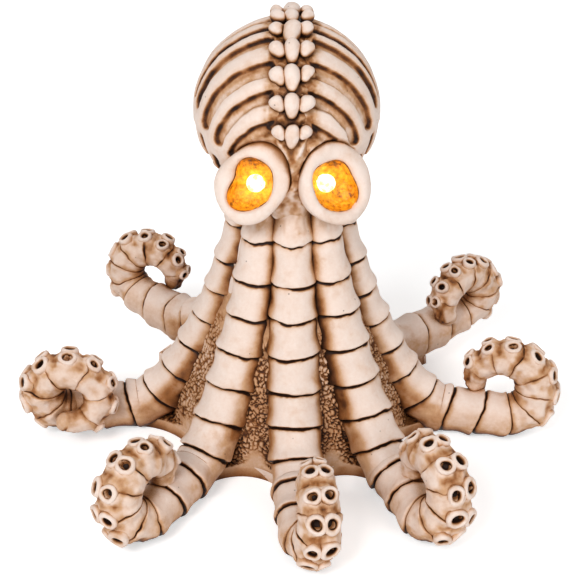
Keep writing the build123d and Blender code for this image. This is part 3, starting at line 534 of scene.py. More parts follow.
class Arm:
    """Centre line of one arm with its frame at any running length."""

    def __init__(self, name):
        self.run, self.curl = RUNS[name], CURLS[name]
        self.reach, self.foot = ARM_REACH * self.run.reach, FOOT_REACH * self.run.foot
        self.rise = RUN_HEIGHT * self.run.rise
        down, azimuth = self.way_down()
        up, turning = self.way_round(down[-1])
        points = np.concatenate([down, up])
        facing = np.concatenate([azimuth, turning])
        length = np.concatenate([[0], np.cumsum(np.linalg.norm(np.diff(points, axis=0), axis=1))])
        self.start, self.end = length[len(down) - 1], length[-1]
        turn = self.curl.turn
        self.suckers = np.arange(self.curl.pair_start, LAST_SUCKER * turn, self.curl.pair_step) / turn
        # finer table, smoothed a little where runs meet
        self.fine = np.linspace(0, self.end, FINE_STEPS)
        line = np.stack([np.interp(self.fine, length, points[:, k]) for k in range(3)], 1)
        kernel = np.hanning(2 * SOFTENING + 3)[1:-1]
        kernel /= kernel.sum()
        before, beyond = line[SOFTENING:0:-1], line[-2:-SOFTENING - 2:-1]
        padded = np.concatenate([2 * line[:1] - before, line, 2 * line[-1:] - beyond])
        self.line = np.stack([np.convolve(padded[:, k], kernel, "valid") for k in range(3)], 1)
        self.tangent = rows(np.gradient(self.line, axis=0))
        side = radial(np.interp(self.fine, length, facing) + 90)
        self.side = rows(side - (side * self.tangent).sum(1, keepdims=True) * self.tangent)

    def way_down(self):
        # from the neck to the foot on a cubic curve, then out along the floor
        foot, low = self.foot, RUN_HEIGHT * self.run.low
        t = np.linspace(0, 1, STEPS)
        weights = np.stack([(1 - t) ** 3, 3 * (1 - t) ** 2 * t, 3 * (1 - t) * t**2, t**3], 1)
        handles = np.array([
            (NECK_RADIUS, NECK_HEIGHT), (NECK_RADIUS + NECK_FLARE, NECK_HEIGHT * HANDLE_SHARE),
            (foot - FOOT_FLARE, low + RUN_HEIGHT), (foot, low),
        ])
        t = np.linspace(0, 1, RUN_STEPS)[1:]
        out = np.stack([foot + (self.reach - foot) * t, low + self.rise * t**RISE_POWER], 1)
        level = np.concatenate([weights @ handles, out])
        azimuth = self.run.heading + self.run.swing * (level[:, 0] / self.reach) ** 2
        points = radial(azimuth) * level[:, :1]
        points[:, 2] = level[:, 1]
        return points, azimuth

    def way_round(self, origin):
        # the curl rises from the run's end, turns back over it and drifts sideways
        run, curl, quarter = self.run, self.curl, math.pi / 2
        first, last, shift = CURL_RADIUS * curl.first, CURL_RADIUS * curl.last, CURL_RADIUS * curl.shift
        slope = math.atan2(RISE_POWER * self.rise, self.reach - self.foot)
        leaving = run.heading + run.swing + math.degrees(math.atan(2 * math.radians(run.swing)))
        f = np.linspace(0, 1, CURL_STEPS)[1:]
        angle = math.radians(curl.turn) * f
        bend = first + (last - first) * f
        out = -first * math.sin(slope) + bend * np.cos(angle - quarter + slope)
        up = first * math.cos(slope) + bend * np.sin(angle - quarter + slope)
        ease = np.minimum(1, angle / quarter)
        facing = leaving + curl.yaw * ease * ease * (3 - 2 * ease)
        drift = (shift * f**curl.power)[:, None]
        points = origin + radial(facing) * out[:, None] + radial(facing + 90) * drift
        points[:, 2] += up
        return points, facing

    def at(self, s):
        # point, tangent, sideways and outward vectors at running lengths of any shape
        def read(values):
            return np.stack([np.interp(s, self.fine, values[:, k]) for k in range(3)], -1)

        tangent, side = rows(read(self.tangent)), rows(read(self.side))
        return read(self.line), tangent, side, np.cross(side, tangent)

    def girth(self, s):
        body = table(BODY_GIRTH, np.clip(s / self.start, 0, 1))
        share = np.clip((s - self.start) / (self.end - self.start), 0, 1)
        slim = self.curl.slim_start + (self.curl.slim_end - self.curl.slim_start) * share
        slim = 1 + (slim - 1) * smooth(-16, 4, s - self.start)
        return THICKNESS * slim * np.where(s <= self.start, body, table(CURL_GIRTH, share))


def plate_lines(arm, phi, seed):
    # the arm's two ends and the edges between its plates, as a running length for each column
    edges = [arm.start * i / BODY_PLATES for i in range(BODY_PLATES)]
    edges += [arm.start + (arm.end - arm.start) * i / CURL_PLATES for i in range(CURL_PLATES + 1)]
    ring = np.stack([np.cos(phi) * WANDER_RADIUS, np.sin(phi) * WANDER_RADIUS, np.zeros(len(phi))], 1)
    lines = [np.full(len(phi), edges[0])]
    for i, edge in enumerate(edges[1:-1], 1):
        sag = PLATE_SAG if i <= BODY_PLATES else CURL_SAG
        place = ring + (0, 0, 13.7 * i + 101 * seed)
        wander = bumps(place, seed, (0.6, 7.0), (0.22, 2.2))
        lines.append(edge + table(PLATE_SHIFT, edge / arm.start) - sag * np.cos(phi) + wander)
    return lines + [np.full(len(phi), edges[-1])]


def sucker_places(arm, seed):
    # running length, point on the centre line, direction, girth and size of each sucker
    places = []
    for k, share in enumerate(arm.suckers):
        s = arm.start + (arm.end - arm.start) * share
        p, along, sideways, outward = (v[0] for v in arm.at(np.array([s])))
        girth = float(arm.girth(np.array([s]))[0])
        for hand in (-1, 1):
            splay = math.radians(SUCKER_SPLAY + 3 * shake(3, k, hand, seed)) * hand
            other = shake(4, k, hand, seed)
            d = outward * math.cos(splay) + sideways * math.sin(splay) + 0.08 * other * along
            size = girth * SUCKER_SHARE * (1 + 0.09 * other)
            places.append((s, p, d / np.linalg.norm(d), girth, size))
    return places


def sucker_ring(skin, k, seed, p, d, girth, size):
    # a thick ring with a deep mouth
    lift = 1.0 + 0.2 * shake(9, k, seed, 3)
    profile = [(size * r, girth + h * (lift if h > FREE_HEIGHT else 1)) for r, h, _ in SUCKER_FORM]
    shift = 1.7 * k + seed

    def uneven(angle):
        return 1 + 0.07 * np.cos(2 * angle + shift) + 0.02 * np.cos(3 * angle - 2 * shift)

    form = turned(p, d, profile, SUCKER_COLUMNS, uneven)
    nudge = 0.26 * lumps(form + 11.0 * seed, 2.0, 31) + 0.09 * lumps(form, 0.8, 32)
    form = form + rows(form - (p + d * girth)) * nudge[..., None]
    stain_and_shade = np.array([mark for _, _, mark in SUCKER_FORM])[:, None] + 0.14 * lumps(form, 1.4, 33)
    skin.grid(form, np.clip(stain_and_shade, 0, 1.2), end_cap=True)


def crack_stain_and_shade(arm, s, lines, grain, inwards, in_curl, band, rough):
    # dark cracks between the plates, finer and paler where the run ends, and beside them a soft brown wash
    # with painted shade, most under the previous plate's lip; in the curl the cracks are short and fade
    # towards its inner side
    below = s - np.repeat(lines[:-1], len(PLATE_FORM), axis=0)
    above = np.repeat(lines[1:], len(PLATE_FORM), axis=0) - s
    run_out = smooth(0.6, 0.92, s / arm.start)
    ragged = np.clip(1 + 1.1 * lumps(grain, 3.2, 23) + 0.3 * lumps(grain, 0.9, 24), 0.12, 1.6)
    gap = CRACK_WIDTH * (1 - 0.35 * run_out) * ragged
    gap = gap * (1 - in_curl * (0.5 + 0.4 * lumps(grain, 4.5, 25)))
    crack = np.maximum(smooth(gap * 1.7, gap * 0.8, below), smooth(gap * 0.8, gap * 0.15, above))
    crack = crack * smooth(0.5, 3, s)
    broken = smooth(-0.2, 0.35, lumps(grain, 3.4, 27))
    kept = (0.12 + 0.88 * broken) * (1 - 0.95 * smooth(-0.45, 0.3, inwards))
    kept = 1 - smooth(-9, 3, s - arm.start) * (1 - kept)
    # brown wash and painted shade beside the cracks, heaviest under the previous plate's lip
    wash_and_shade = np.maximum(smooth(2.2, 0.2, below) * 0.26, smooth(0.9, 0.1, above) * 0.1)
    return crack * kept * (0.95 - 0.3 * band - 0.15 * in_curl - 0.2 * run_out) + wash_and_shade * (0.3 + 0.8 * rough)


def rounded_end(arm, facing, radius):
    # rows of a dome over the arm's last row
    p, along, _, _ = (v[0] for v in arm.at(np.array([arm.end])))
    return np.array([
        p + along * radius.mean() * 0.9 * math.sin(a) + facing * (radius * math.cos(a))[:, None]
        for a in np.radians([20, 40, 58, 74])
    ])


def arm_piece(name, seed):
    # phi runs round the arm from its sucker side; inwards is 1 on its top and the curl's inner side
    arm = Arm(name)
    phi = around(ARM_COLUMNS)
    inwards = -np.cos(phi)[None, :]
    lines = plate_lines(arm, phi, seed)
    s = np.array([a + (b - a) * u for a, b in zip(lines, lines[1:]) for u, _ in PLATE_FORM])
    u = np.tile([u for u, _ in PLATE_FORM], len(lines) - 1)[:, None]
    point, _, side, outward = arm.at(s)
    facing = spokes(phi, outward, side)
    in_curl = smooth(-4, 10, s - arm.start)
    # the band of skin that carries the suckers, and the curl's inner side, which is slim and smooth
    band = smooth(math.cos(math.radians(62)), math.cos(math.radians(30)), np.cos(phi))[None, :] * in_curl
    inner = in_curl * smooth(-0.2, 0.6, inwards)
    relief = (table(PLATE_FORM, u) - 1) * (1 - 0.55 * band) * (1 - 0.3 * in_curl) * (1 - 0.6 * inner)
    radius = arm.girth(s) * (1 + relief) * (1 - 0.08 * inner)
    radius *= 0.74 + 0.26 * smooth(-1, 5, s)
    spot = point + facing * radius[..., None]
    grain = spot + 37.0 * seed
    big, mid, small = lumps(grain, 6.5, 11), lumps(grain, 2.4, 12), lumps(grain, 1.0, 13)
    bead = np.clip(0.62 - beads(grain, 1.7, 5)[0], 0, 1)
    open_u = np.sin(np.pi * np.clip(u, 0, 1)) ** 0.5
    radius += (0.24 + 0.2 * in_curl) * big + (0.12 + 0.2 * in_curl) * mid * (0.4 + 0.6 * open_u)
    radius += (0.05 + 0.05 * in_curl) * small
    radius += band * (0.34 * mid + 0.75 * bead - 0.25)
    # a collar round each sucker, and a dimple under its mouth
    suckers = sucker_places(arm, seed)
    crown = np.zeros(s.shape)
    for place, p, d, girth, size in suckers:
        away = spot - p
        height = (away * d).sum(-1)
        off = np.linalg.norm(away - height[..., None] * d, axis=-1)
        near_it = (height > 0.3 * girth) & (np.abs(s - place) < SUCKER_ZONE)
        crown = np.maximum(crown, smooth(2.1 * size, 0.95 * size, off) * near_it)
        radius -= MOUTH_DEPTH * smooth(0.62 * size, 0.3 * size, off) * near_it
    radius += 0.6 * crown - 0.25 * band * (1 - crown)
    # stain and painted shade: cracks, a brown wash with painted shade on the plates' flanks towards the next
    # arm, the sucker band, painted shade on the curl's inner side, and painted shade near the floor
    rough, blot = 0.5 + 0.5 * layers(grain, 5.0, 21), 0.5 + 0.5 * layers(grain, 1.8, 22)
    # brown wash and painted shade on the flanks that face the next arms
    flank_wash_and_shade = smooth(0.82, 0.25, inwards) * (1 - in_curl) * (1 - 0.75 * smooth(0.6, 0.92, s / arm.start))
    stain_and_shade = crack_stain_and_shade(arm, s, lines, grain, inwards, in_curl, band, rough)
    stain_and_shade += flank_wash_and_shade * (0.32 + 0.44 * rough) + band * (0.38 + 0.42 * blot - 0.42 * bead) * (1 - 0.85 * crown)
    # blotches of stain in the curl, and painted shade on the curl's inner side
    stain_and_shade += in_curl * (0.03 + 0.24 * rough * blot) * (1 - band) + in_curl * 0.3 * smooth(0.5, 0.95, inwards)
    stain_and_shade += (0.04 + 0.2 * in_curl) * np.clip(-mid - 0.1 * in_curl, 0, 1)
    # painted shade on faces turned down near the floor
    stain_and_shade += 0.3 * smooth(9.0, 1.5, spot[..., 2]) * (0.3 + 0.7 * blot) * smooth(0.5, -0.3, facing[..., 2])
    if name.startswith("arm_front"):
        # scratched top plates under the eyes
        first_plate = arm.start / BODY_PLATES
        under = smooth(first_plate + 2.2, first_plate - 0.8, s)
        scratch = lumps(grain * (1, 1, 0.3), 0.8, 28)
        radius += under * (0.22 * mid + 0.1 * scratch)
        stain_and_shade += under * (0.02 + 0.1 * rough + 0.14 * np.clip(scratch, -0.3, 1))
    dome = rounded_end(arm, facing[-1], radius[-1])
    points = np.concatenate([point + facing * radius[..., None], dome])
    stain_and_shade = np.concatenate([stain_and_shade, np.full(dome.shape[:2], 0.25)])
    skin = Skin()
    skin.grid(points, stain_and_shade, start_cap=True, end_cap=True)
    for k, (_, *place) in enumerate(suckers):
        sucker_ring(skin, k, seed, *place)
    skin.piece("octopus_" + name, "figurine", "bone_resin", bone, name)


for number, arm_name in enumerate(RUNS):
    arm_piece(arm_name, number + 1)


# Webs between the arms
def web_reach(azimuth):
    # plan radius of the web's edge: a hollow arc between each two arms
    bearings = sorted(run.heading + run.swing * (FOOT_REACH / ARM_REACH) ** 2 for run in RUNS.values())
    reach = np.full(azimuth.shape, SKIRT_RADIUS)
    for here, after in zip(bearings, bearings[1:] + [bearings[0] + 360]):
        half = math.radians((after - here) / 2)
        share = 1 / (1 - SCALLOP * math.sin(half))
        middle, radius = WEB_EDGE * share, WEB_EDGE * (share - 1)
        off = np.radians((azimuth - (here + after) / 2 + 180) % 360 - 180)
        inside = radius**2 - (middle * np.sin(off)) ** 2
        hit = middle * np.cos(off) - np.sqrt(np.maximum(inside, 0))
        reach = np.where((inside > 0) & (np.abs(off) < math.pi / 2), np.minimum(reach, hit), reach)
    return reach


def web_outline():
    # radii and heights of the webs from the neck down, softened where they run out flat
    outline = [(SKIRT_RADIUS * r, CORE_HEIGHT * z) for r, z in CORE_OUTLINE]
    run = [0.0]
    for a, b in zip(outline, outline[1:]):
        run.append(run[-1] + math.dist(a, b))
    foot = run[-2]
    beyond = np.linspace(0, 1, EDGE_ROWS)[1:] * EDGE_RUN
    down = np.concatenate([np.linspace(0, foot, WEB_ROWS), foot + beyond])
    r, z = (np.interp(down, run, [p[k] for p in outline]) for k in (0, 1))
    r = r + table(WEB_BULGE, z / CORE_HEIGHT)
    kernel = np.hanning(2 * WEB_SOFTENING + 1)
    kernel /= kernel.sum()
    r_soft, z_soft = (np.convolve(np.pad(v, WEB_SOFTENING, mode="edge"), kernel, "valid") for v in (r, z))
    soft = np.arange(len(r)) > len(r) - SOFT_ROWS
    return np.where(soft, r_soft, r), np.where(soft, np.maximum(z, z_soft), z)


def web_piece():
    azimuth = np.linspace(-180, 180, WEB_COLUMNS, endpoint=False)
    direction, edge = radial(azimuth), web_reach(azimuth)
    r, z = web_outline()
    radius = np.minimum(r[:, None], edge[None, :])
    height = np.broadcast_to(z[:, None], radius.shape)
    slope_r, slope_z = np.gradient(r), np.gradient(z)
    size = np.hypot(slope_r, slope_z)
    normal = direction[None] * (-slope_z / size)[:, None, None] + UP * (slope_r / size)[:, None, None]
    spot = direction[None] * radius[..., None] + UP * height[..., None]
    # grains with crevices between them and pits, which leave the neck and the edge smooth
    warp = spot + np.stack([lumps(spot, 2.4, k) for k in (71, 72, 73)], -1) * 0.7
    near, after = beads(warp, 1.3, 41)
    crevice, pit = smooth(0.22, 0.05, after - near), smooth(0.2, 0.06, near)
    big, patch, small = lumps(spot, 5.0, 44), lumps(spot, 3.6, 45), lumps(spot, 0.7, 43)
    margin = smooth(0.1, 0.9, edge[None, :] - r[:, None])
    grainy = smooth(46, 34, height + 6 * patch) * margin * smooth(-0.75, -0.2, patch)
    ring = pit * smooth(-0.2, 0.2, lumps(warp, 1.3, 47))
    relief = grainy * (0.5 - 0.62 * crevice - 0.45 * ring + 0.1 * small) + 0.25 * big * margin
    spot = spot + normal * (0.1 + relief)[..., None]
    # a brown wash with painted shade in the crevices and the pits
    stain_and_shade = 0.34 + 0.1 * big + 0.06 * small + grainy * (0.5 * crevice + 0.45 * ring - 0.08)
    stain_and_shade = margin * stain_and_shade + (1 - margin) * 0.26
    # wall at the edge down to the floor, darker towards the floor
    wall, wall_tone = [], []
    for share in WALL_SHARES:
        line = direction * (edge + WALL_FLARE * (1 - share))[:, None]
        line[:, 2] = spot[-1, :, 2] * share
        wall.append(line)
        wall_tone.append(0.3 + 0.2 * (1 - share) + 0.1 * lumps(line, 3.0, 46))
    skin = Skin()
    skin.grid(np.concatenate([spot, np.array(wall)]), np.concatenate([stain_and_shade, np.array(wall_tone)]))
    skin.piece("octopus_webs", "figurine", "web_resin", webbing)


web_piece()


# Head
def mantle_normal(lean, turn):
    # unit vectors from the head's middle: lean to a side, turn from the face up and over
    parts = np.broadcast_arrays(np.sin(lean), -np.cos(lean) * np.cos(turn), np.cos(lean) * np.sin(turn))
    return np.stack(parts, -1)


def slot_ends(top, low, overhang, sign):
    # y and z of a slot's upper and lower end; sign -1 gives its mirror image at the back
    top, low = np.array(top), np.array(low)
    top = top + (top - low) * overhang
    return MANTLE[1:] + MANTLE_RADIUS * top * (sign, 1), MANTLE[1:] + MANTLE_RADIUS * low * (sign, 1)


def slot_depth(points, side):
    # how far inside a slot each point is (negative outside), and how far to its upper side it lies
    best, upper = np.full(len(points), -9.0), np.zeros(len(points))
    across = side * (points[:, 0] - SPINE_X)
    fray = 1.3 * lumps(points, 3.4, 59)
    slots = [(*slot, SLOT_START, OVERHANG) for slot in SLOTS]
    slots += [(*slot, MANTLE_RADIUS * LOW_REACH, 0) for slot in LOW_SLOTS]
    for sign in (1, -1):
        for top, low, width, inner, overhang in slots:
            a, b = slot_ends(top, low, overhang, sign)
            run = b - a
            t = np.clip(((points[:, 1:] - a) @ run) / (run @ run), 0, 1)
            off = points[:, 1:] - a - t[:, None] * run
            square = np.array((abs(run[1]), run[0] * (1 if run[1] < 0 else -1))) * sign / np.linalg.norm(run)
            within = SLOT_WIDTH * width / 2 - np.linalg.norm(off, axis=1)
            inside = np.minimum(within, (across - inner + fray) * 0.6)
            upper = np.where(inside > best, off @ square, upper)
            best = np.maximum(best, inside)
    return best, upper


def mantle_half(side, hand):
    # grid with its pole at the side of the head
    turn = np.radians(np.linspace(*SHELL_TURN, SHELL_ROWS))
    inner = SLOT_START - SHELL_OVERLAP + side * (SPINE_X - MANTLE[0])
    lean = np.linspace(math.asin(inner / MANTLE_RADIUS), math.pi / 2 - 0.004, SHELL_COLUMNS)
    normal = mantle_normal(side * lean[None, :], turn[:, None])
    base = MANTLE + normal * MANTLE_RADIUS
    inside, upper = (v.reshape(base.shape[:2]) for v in slot_depth(base.reshape(-1, 3), side))
    inside += bumps(base, 51, (0.2, 2.6), (0.08, 1.1))
    cut, crown, high = smooth(-0.2, 0.6, inside), smooth(-1.2, -0.2, inside), smooth(-0.5, 0.6, upper)
    big, mid, rough = lumps(base, 7.0, 53), lumps(base, 2.2, 54), layers(base, 1.8, 55)
    height = 0.2 + 0.12 * big + 0.05 * mid - 0.2 * crown - SLOT_DEPTH * cut + cut * 0.1 * rough
    # towards the lower edge the shell runs into the brown neck
    low = smooth(SHELL_BOTTOM + 4.0, SHELL_BOTTOM - 1.5, base[..., 2] + 1.2 * big)
    height -= 1.4 * low
    # the slots' floors are brown; painted shade darkens them along their edges, most under their upper side
    # where the rib above overhangs, and a little on that rib's edge
    floor_stain_and_shade = 0.15 + 0.12 * rough + 0.12 * lumps(base, 4.0, 58) + 0.1 * high
    stain_and_shade = crown * (0.02 + 0.08 * high) + 0.5 * low + smooth(-0.12, 0.3, inside) * floor_stain_and_shade
    # a dark line of painted shade along each slot's edge, heaviest under its upper side
    rim = smooth(-0.12, 0.2, inside) * smooth(1.0, 0.4, inside)
    stain_and_shade += (0.12 + 0.44 * high) * rim * (0.75 + 0.4 * mid)
    # beside the spine it is stained, and runs in under the ridge
    off = side * (base[..., 0] - SPINE_X)
    height -= 0.4 * smooth(6.5, 3.5, off)
    beside = smooth(SPINE_WIDTH / 2 + 2.6, SPINE_WIDTH / 2 - 0.6, off + 0.9 * big)
    stain_and_shade += beside * (0.3 + 0.24 * rough)
    skin = Skin()
    skin.grid(base + normal * height[..., None], stain_and_shade, closed=False)
    skin.piece("octopus_ribs_" + hand, "figurine", "bone_resin", bone, "mantle_ribs_" + hand)


mantle_half(-1, "left")
mantle_half(1, "right")


def neck_piece():
    # brown inner head and neck, seen only in gaps
    heights, *columns = zip(*NECK_OUTLINE)
    z = np.linspace(heights[0], heights[-1], NECK_ROWS)[:, None]
    x, y, r = (np.interp(z, heights, column) for column in columns)
    angle = around(NECK_COLUMNS)
    middle = np.stack([x, y, z], -1)
    form = middle + r[..., None] * spokes(angle, ACROSS, (0, 1.0, 0))
    rough = layers(form, 2.6, 68)
    form = form + rows(form - NECK_MIDDLE) * (0.2 * rough)[..., None]
    skin = Skin()
    skin.grid(form, 0.5 - 0.12 * rough, start_cap=True, end_cap=True)
    skin.piece("octopus_neck", "figurine", "inner_resin", bone, "head_core")


neck_piece()


# Spine
def knobs(skin):
    # makes the knobs, and returns the middle, the pointed end's place and the size of each
    balls = []
    reach = MANTLE_RADIUS + RIDGE_RISE
    for row in range(KNOB_ROWS):
        angle = math.radians(KNOB_START + KNOB_STEP * row)
        spot = np.array((SPINE_X, MANTLE[1] - reach * math.cos(angle), MANTLE[2] + reach * math.sin(angle)))
        along = np.array((0, -math.sin(angle), -math.cos(angle)))
        away = np.array((0, -math.cos(angle), math.sin(angle)))
        spread = KNOB_SPREAD * SPREAD_SHARES[min(row, 1)]
        for place in (-1, 0, 1):
            one, other = shake(8, row, place, 5), shake(9, row, place, 5)
            size = KNOB_SIZE * (0.9 if place else 1.06) * (1 + 0.09 * one) * KNOB_SHARES[min(row, 2)]
            long = (0.78 if place else 1.04) * (1 + 0.08 * other)
            ball = spot + ACROSS * (place * spread + 0.25 * other)
            ball = ball + away * (0.1 if place else 0.3) + along * (-0.5 * abs(place) + 0.35 * one)
            lean = math.radians(KNOB_LEAN + 9 * one) * place + math.radians(7 * other)
            pointing = along * math.cos(lean) - ACROSS * math.sin(lean) - away * 0.12
            balls.append((ball, ball + pointing * size * long * 1.5, size))
            knob = turned(ball, pointing, [(r * size, h * size * long) for r, h in KNOB_FORM], KNOB_COLUMNS)
            bend = bumps(knob, 63, (0.3, 2.6), (0.12, 1.1))
            knob = knob + rows(knob - ball) * bend[..., None]
            depth = ((knob - ball) @ away) / size
            stain_and_shade = 0.75 * smooth(0.45, -0.3, depth) + 0.09 * layers(knob, 1.8, 66)
            skin.grid(knob, stain_and_shade, start_cap=True, end_cap=True)
    return balls


def crease_by(points, balls):
    # 1 close round the knobs, 0 away from them
    crease = np.zeros(points.shape[:-1])
    for head, tail, size in balls:
        for centre, width in ((head, size), (tail, size * 0.7)):
            away = np.linalg.norm(points - centre, axis=-1)
            crease = np.maximum(crease, smooth(width + 1.7, width + 0.2, away))
    return crease


def ridge(skin, balls):
    # ridge, low at its edges, that widens into the brow and the nose between the eyes
    degrees = np.linspace(*RIDGE_TURN, RIDGE_ROWS)[:, None]
    across = np.linspace(-1, 1, RIDGE_COLUMNS)[None, :]
    offset = SPINE_X - MANTLE[0] + across * table(RIDGE_WIDTH, degrees)
    normal = mantle_normal(np.arcsin(offset / MANTLE_RADIUS), np.radians(degrees))
    base = MANTLE + normal * MANTLE_RADIUS
    rough, fine = layers(base, 2.4, 61), lumps(base, 0.9, 62)
    crease = crease_by(base, balls)
    rise = 1 - np.abs(across) ** 3 - 0.5 - 1.2 * smooth(0.6, 1, np.abs(across))
    rise = rise + 0.34 * rough + 0.1 * fine - 0.3 * crease
    # two folds run from the last knobs down to a point between the eyes, and the nose swells below
    fold = np.abs(offset - FOLD_OFFSET) - table(FOLD_SPREAD, degrees)
    folds = np.exp(-((fold / FOLD_WIDTH) ** 2)) * smooth(-9, -5, degrees) * smooth(16, 8, degrees)
    swell = np.exp(-((offset - NOSE_OFFSET) / table(NOSE_WIDTH, degrees)) ** 4)
    rise += table(NOSE_RISE, degrees) * swell + FOLD_RISE * folds
    # brown creases over the head, an even wash on the brow and a pale, scratched nose
    face, nose = smooth(6, -6, degrees), smooth(-14, -34, degrees)
    scratch = lumps(base * (1, 1, 0.3), 0.8, 67)
    stain_and_shade = (0.28 - 0.2 * rough + 0.42 * crease * (0.7 + 0.4 * rough)) * (1 - face)
    stain_and_shade += face * (0.42 - 0.2 * rough - 0.12 * fine) - 0.2 * folds
    stain_and_shade += nose * (0.16 * scratch - 0.28)
    skin.grid(base + normal * rise[..., None], stain_and_shade, closed=False)


def spine_piece():
    skin = Skin()
    ridge(skin, knobs(skin))
    skin.piece("octopus_spine", "figurine", "bone_resin", bone, "spine")


spine_piece()


# Eyes
def gilt(name, side):
    # rough gold paint with the lamp's light painted on: a painted glow strongest around the lamp, and painted
    # shade at its top
    n = Nodes(name)
    middle, outward = eye_frame(side)
    away = n.add("ShaderNodeVectorMath", operation="DISTANCE")
    n.join(n.place, away.inputs[0])
    away.inputs[1].default_value = tuple((middle - outward * LAMP_MIDDLE) * MM)
    near = n.remap(away.outputs["Value"], 0.0026, 0.007, 1.0, 0.0)
    grain, patch = n.noise(0.0011, 5.0, 0.7), n.noise(0.003, 3.0, 0.6)
    height = n.add("ShaderNodeSeparateXYZ")
    n.join(n.place, height.inputs[0])
    shade = n.remap(height.outputs[2], 0.0895, 0.095, 0.0, 0.17)
    tone = n.maths("MULTIPLY_ADD", grain, 0.6, n.maths("MULTIPLY", patch, 0.4))
    tone = n.maths("SUBTRACT", tone, n.maths("MULTIPLY_ADD", n.stain_and_shade(), 0.16, shade))
    colour = n.ramp(
        tone,
        (0.27, (46, 20, 4)), (0.36, (134, 74, 8)), (0.45, (208, 130, 12)), (0.58, (244, 176, 34)),
        (0.72, (255, 214, 90)),
    )
    n.bump(tone, 0.7, 0.0005)
    return n.look(
        Base_Color=colour, Metallic=0.2, Roughness=n.remap(grain, 0.3, 0.7, 0.3, 0.55),
        Emission_Color=n.mix(n.maths("MULTIPLY", near, 0.4), colour, linear((255, 196, 50))),
        Emission_Strength=n.maths("MULTIPLY_ADD", near, 0.45, 0.22),
    )


def eye_ring(side, steps):
    # rings round the eye's axis; each step is (share from hole to rim, radius factor, height)
    middle, outward = eye_frame(side)
    a, b, c = frame_of(outward)
    angle = around(EYE_COLUMNS)
    hole, rim = waved(HOLE_FORMS[side], angle), waved(RIM_FORMS[side], angle)
    share, factor, height = (np.array(v)[:, None] for v in zip(*steps))
    radius = (hole + (rim - hole) * share) * factor
    spread = spokes(angle, a, b)
    return middle + radius[..., None] * spread + height[..., None] * c, spread


def eye_rim(side, hand):
    middle, outward = eye_frame(side)
    steps = [(0, 1, height) for height in HOLE_HEIGHTS]
    for a in np.radians(np.linspace(0, 180, RIM_ROWS)):
        lift = math.sin(a) ** 0.75 * (1.0 + 0.22 * math.cos(a))
        steps.append(((1 - math.cos(a)) / 2, 1, RIM_CROWN * (lift - 1)))
    steps += [(1, factor, -CUP_DEPTH * depth) for factor, depth in CUP_SHARES]
    form, spread = eye_ring(side, steps)
    push = bumps(form, 71, (0.3, 6.0), (0.1, 2.0), (0.04, 0.9))
    form = form + (spread * 0.5 + outward) * push[..., None]
    height = (form - middle) @ outward
    share = np.array([step[0] for step in steps])[:, None]
    stain_and_shade = 0.6 * smooth(-3.2, -7.0, height) * smooth(0.5, 1.0, share) + 0.05 * layers(form, 4.0, 74)
    skin = Skin()
    skin.grid(form, stain_and_shade)
    skin.piece("octopus_eye_rim_" + hand, "figurine", "bone_resin", bone, "eye_rim_" + hand, open_eyes=False)


def eye_bowl(side, hand):
    # rough gilt bowl from the rim's hole back to the lamp
    form, spread = eye_ring(side, [(0, factor, height) for factor, height in BOWL_SHARES])
    middle, outward = eye_frame(side)
    last = middle + spread * LAMP_EDGE - outward * LAMP_BASE
    fine = [one + (two - one) * t for one, two in zip(form, form[1:]) for t in (0, 0.25, 0.5, 0.75)]
    fine += [form[-1] + (last - form[-1]) * t for t in (0, 0.35, 0.7, 1.0)]
    form = np.array(fine)
    rough = bumps(form, 81, (0.26, 1.9), (0.16, 0.9), (0.08, 0.5))
    off = form - middle
    inward = -rows(off - (off @ outward)[..., None] * outward)
    form = form + inward * (rough * 0.8 + 0.1)[..., None] + outward * (rough * 0.5)[..., None]
    look = gilt("gilt_%s_look" % hand, side)
    skin = Skin()
    skin.grid(form, np.clip(-rough * 1.6, 0, 1))
    skin.piece("octopus_eye_bowl_" + hand, "figurine", "gilt_bowl", look, "eye_bowl_" + hand, open_eyes=False)


for eye_side, eye_hand in ((-1, "left"), (1, "right")):
    eye_rim(eye_side, eye_hand)
    eye_bowl(eye_side, eye_hand)


# Finishes of the CAD pieces
def plain(name, dark, light, rough, size, metal, bump):
    # a moulded or metal finish: two close colours, fine grain, a little wear
    n = Nodes(name)
    grain, wear = n.noise(size, 3.0, 0.6), n.noise(size * 9, 3.0, 0.5)
    tone = n.maths("MULTIPLY_ADD", grain, 0.5, n.maths("MULTIPLY", wear, 0.5))
    n.bump(grain, bump, size * 0.5)
    return n.look(
        Base_Color=n.mix(n.remap(tone, 0.35, 0.65), linear(dark), linear(light)),
        Roughness=n.remap(wear, 0.3, 0.7, rough - 0.07, rough + 0.07), Metallic=metal,
    )


def lamp_look():
    n = Nodes("lamp_look")
    cloud = n.noise(0.0016, 2.0, 0.5)
    colour = n.ramp(cloud, (0.35, (255, 226, 140)), (0.6, (255, 250, 222)))
    glow = n.remap(cloud, 0.3, 0.65, 1.1, 2.0)
    return n.look(Base_Color=colour, Roughness=0.15, Emission_Color=colour, Emission_Strength=glow)


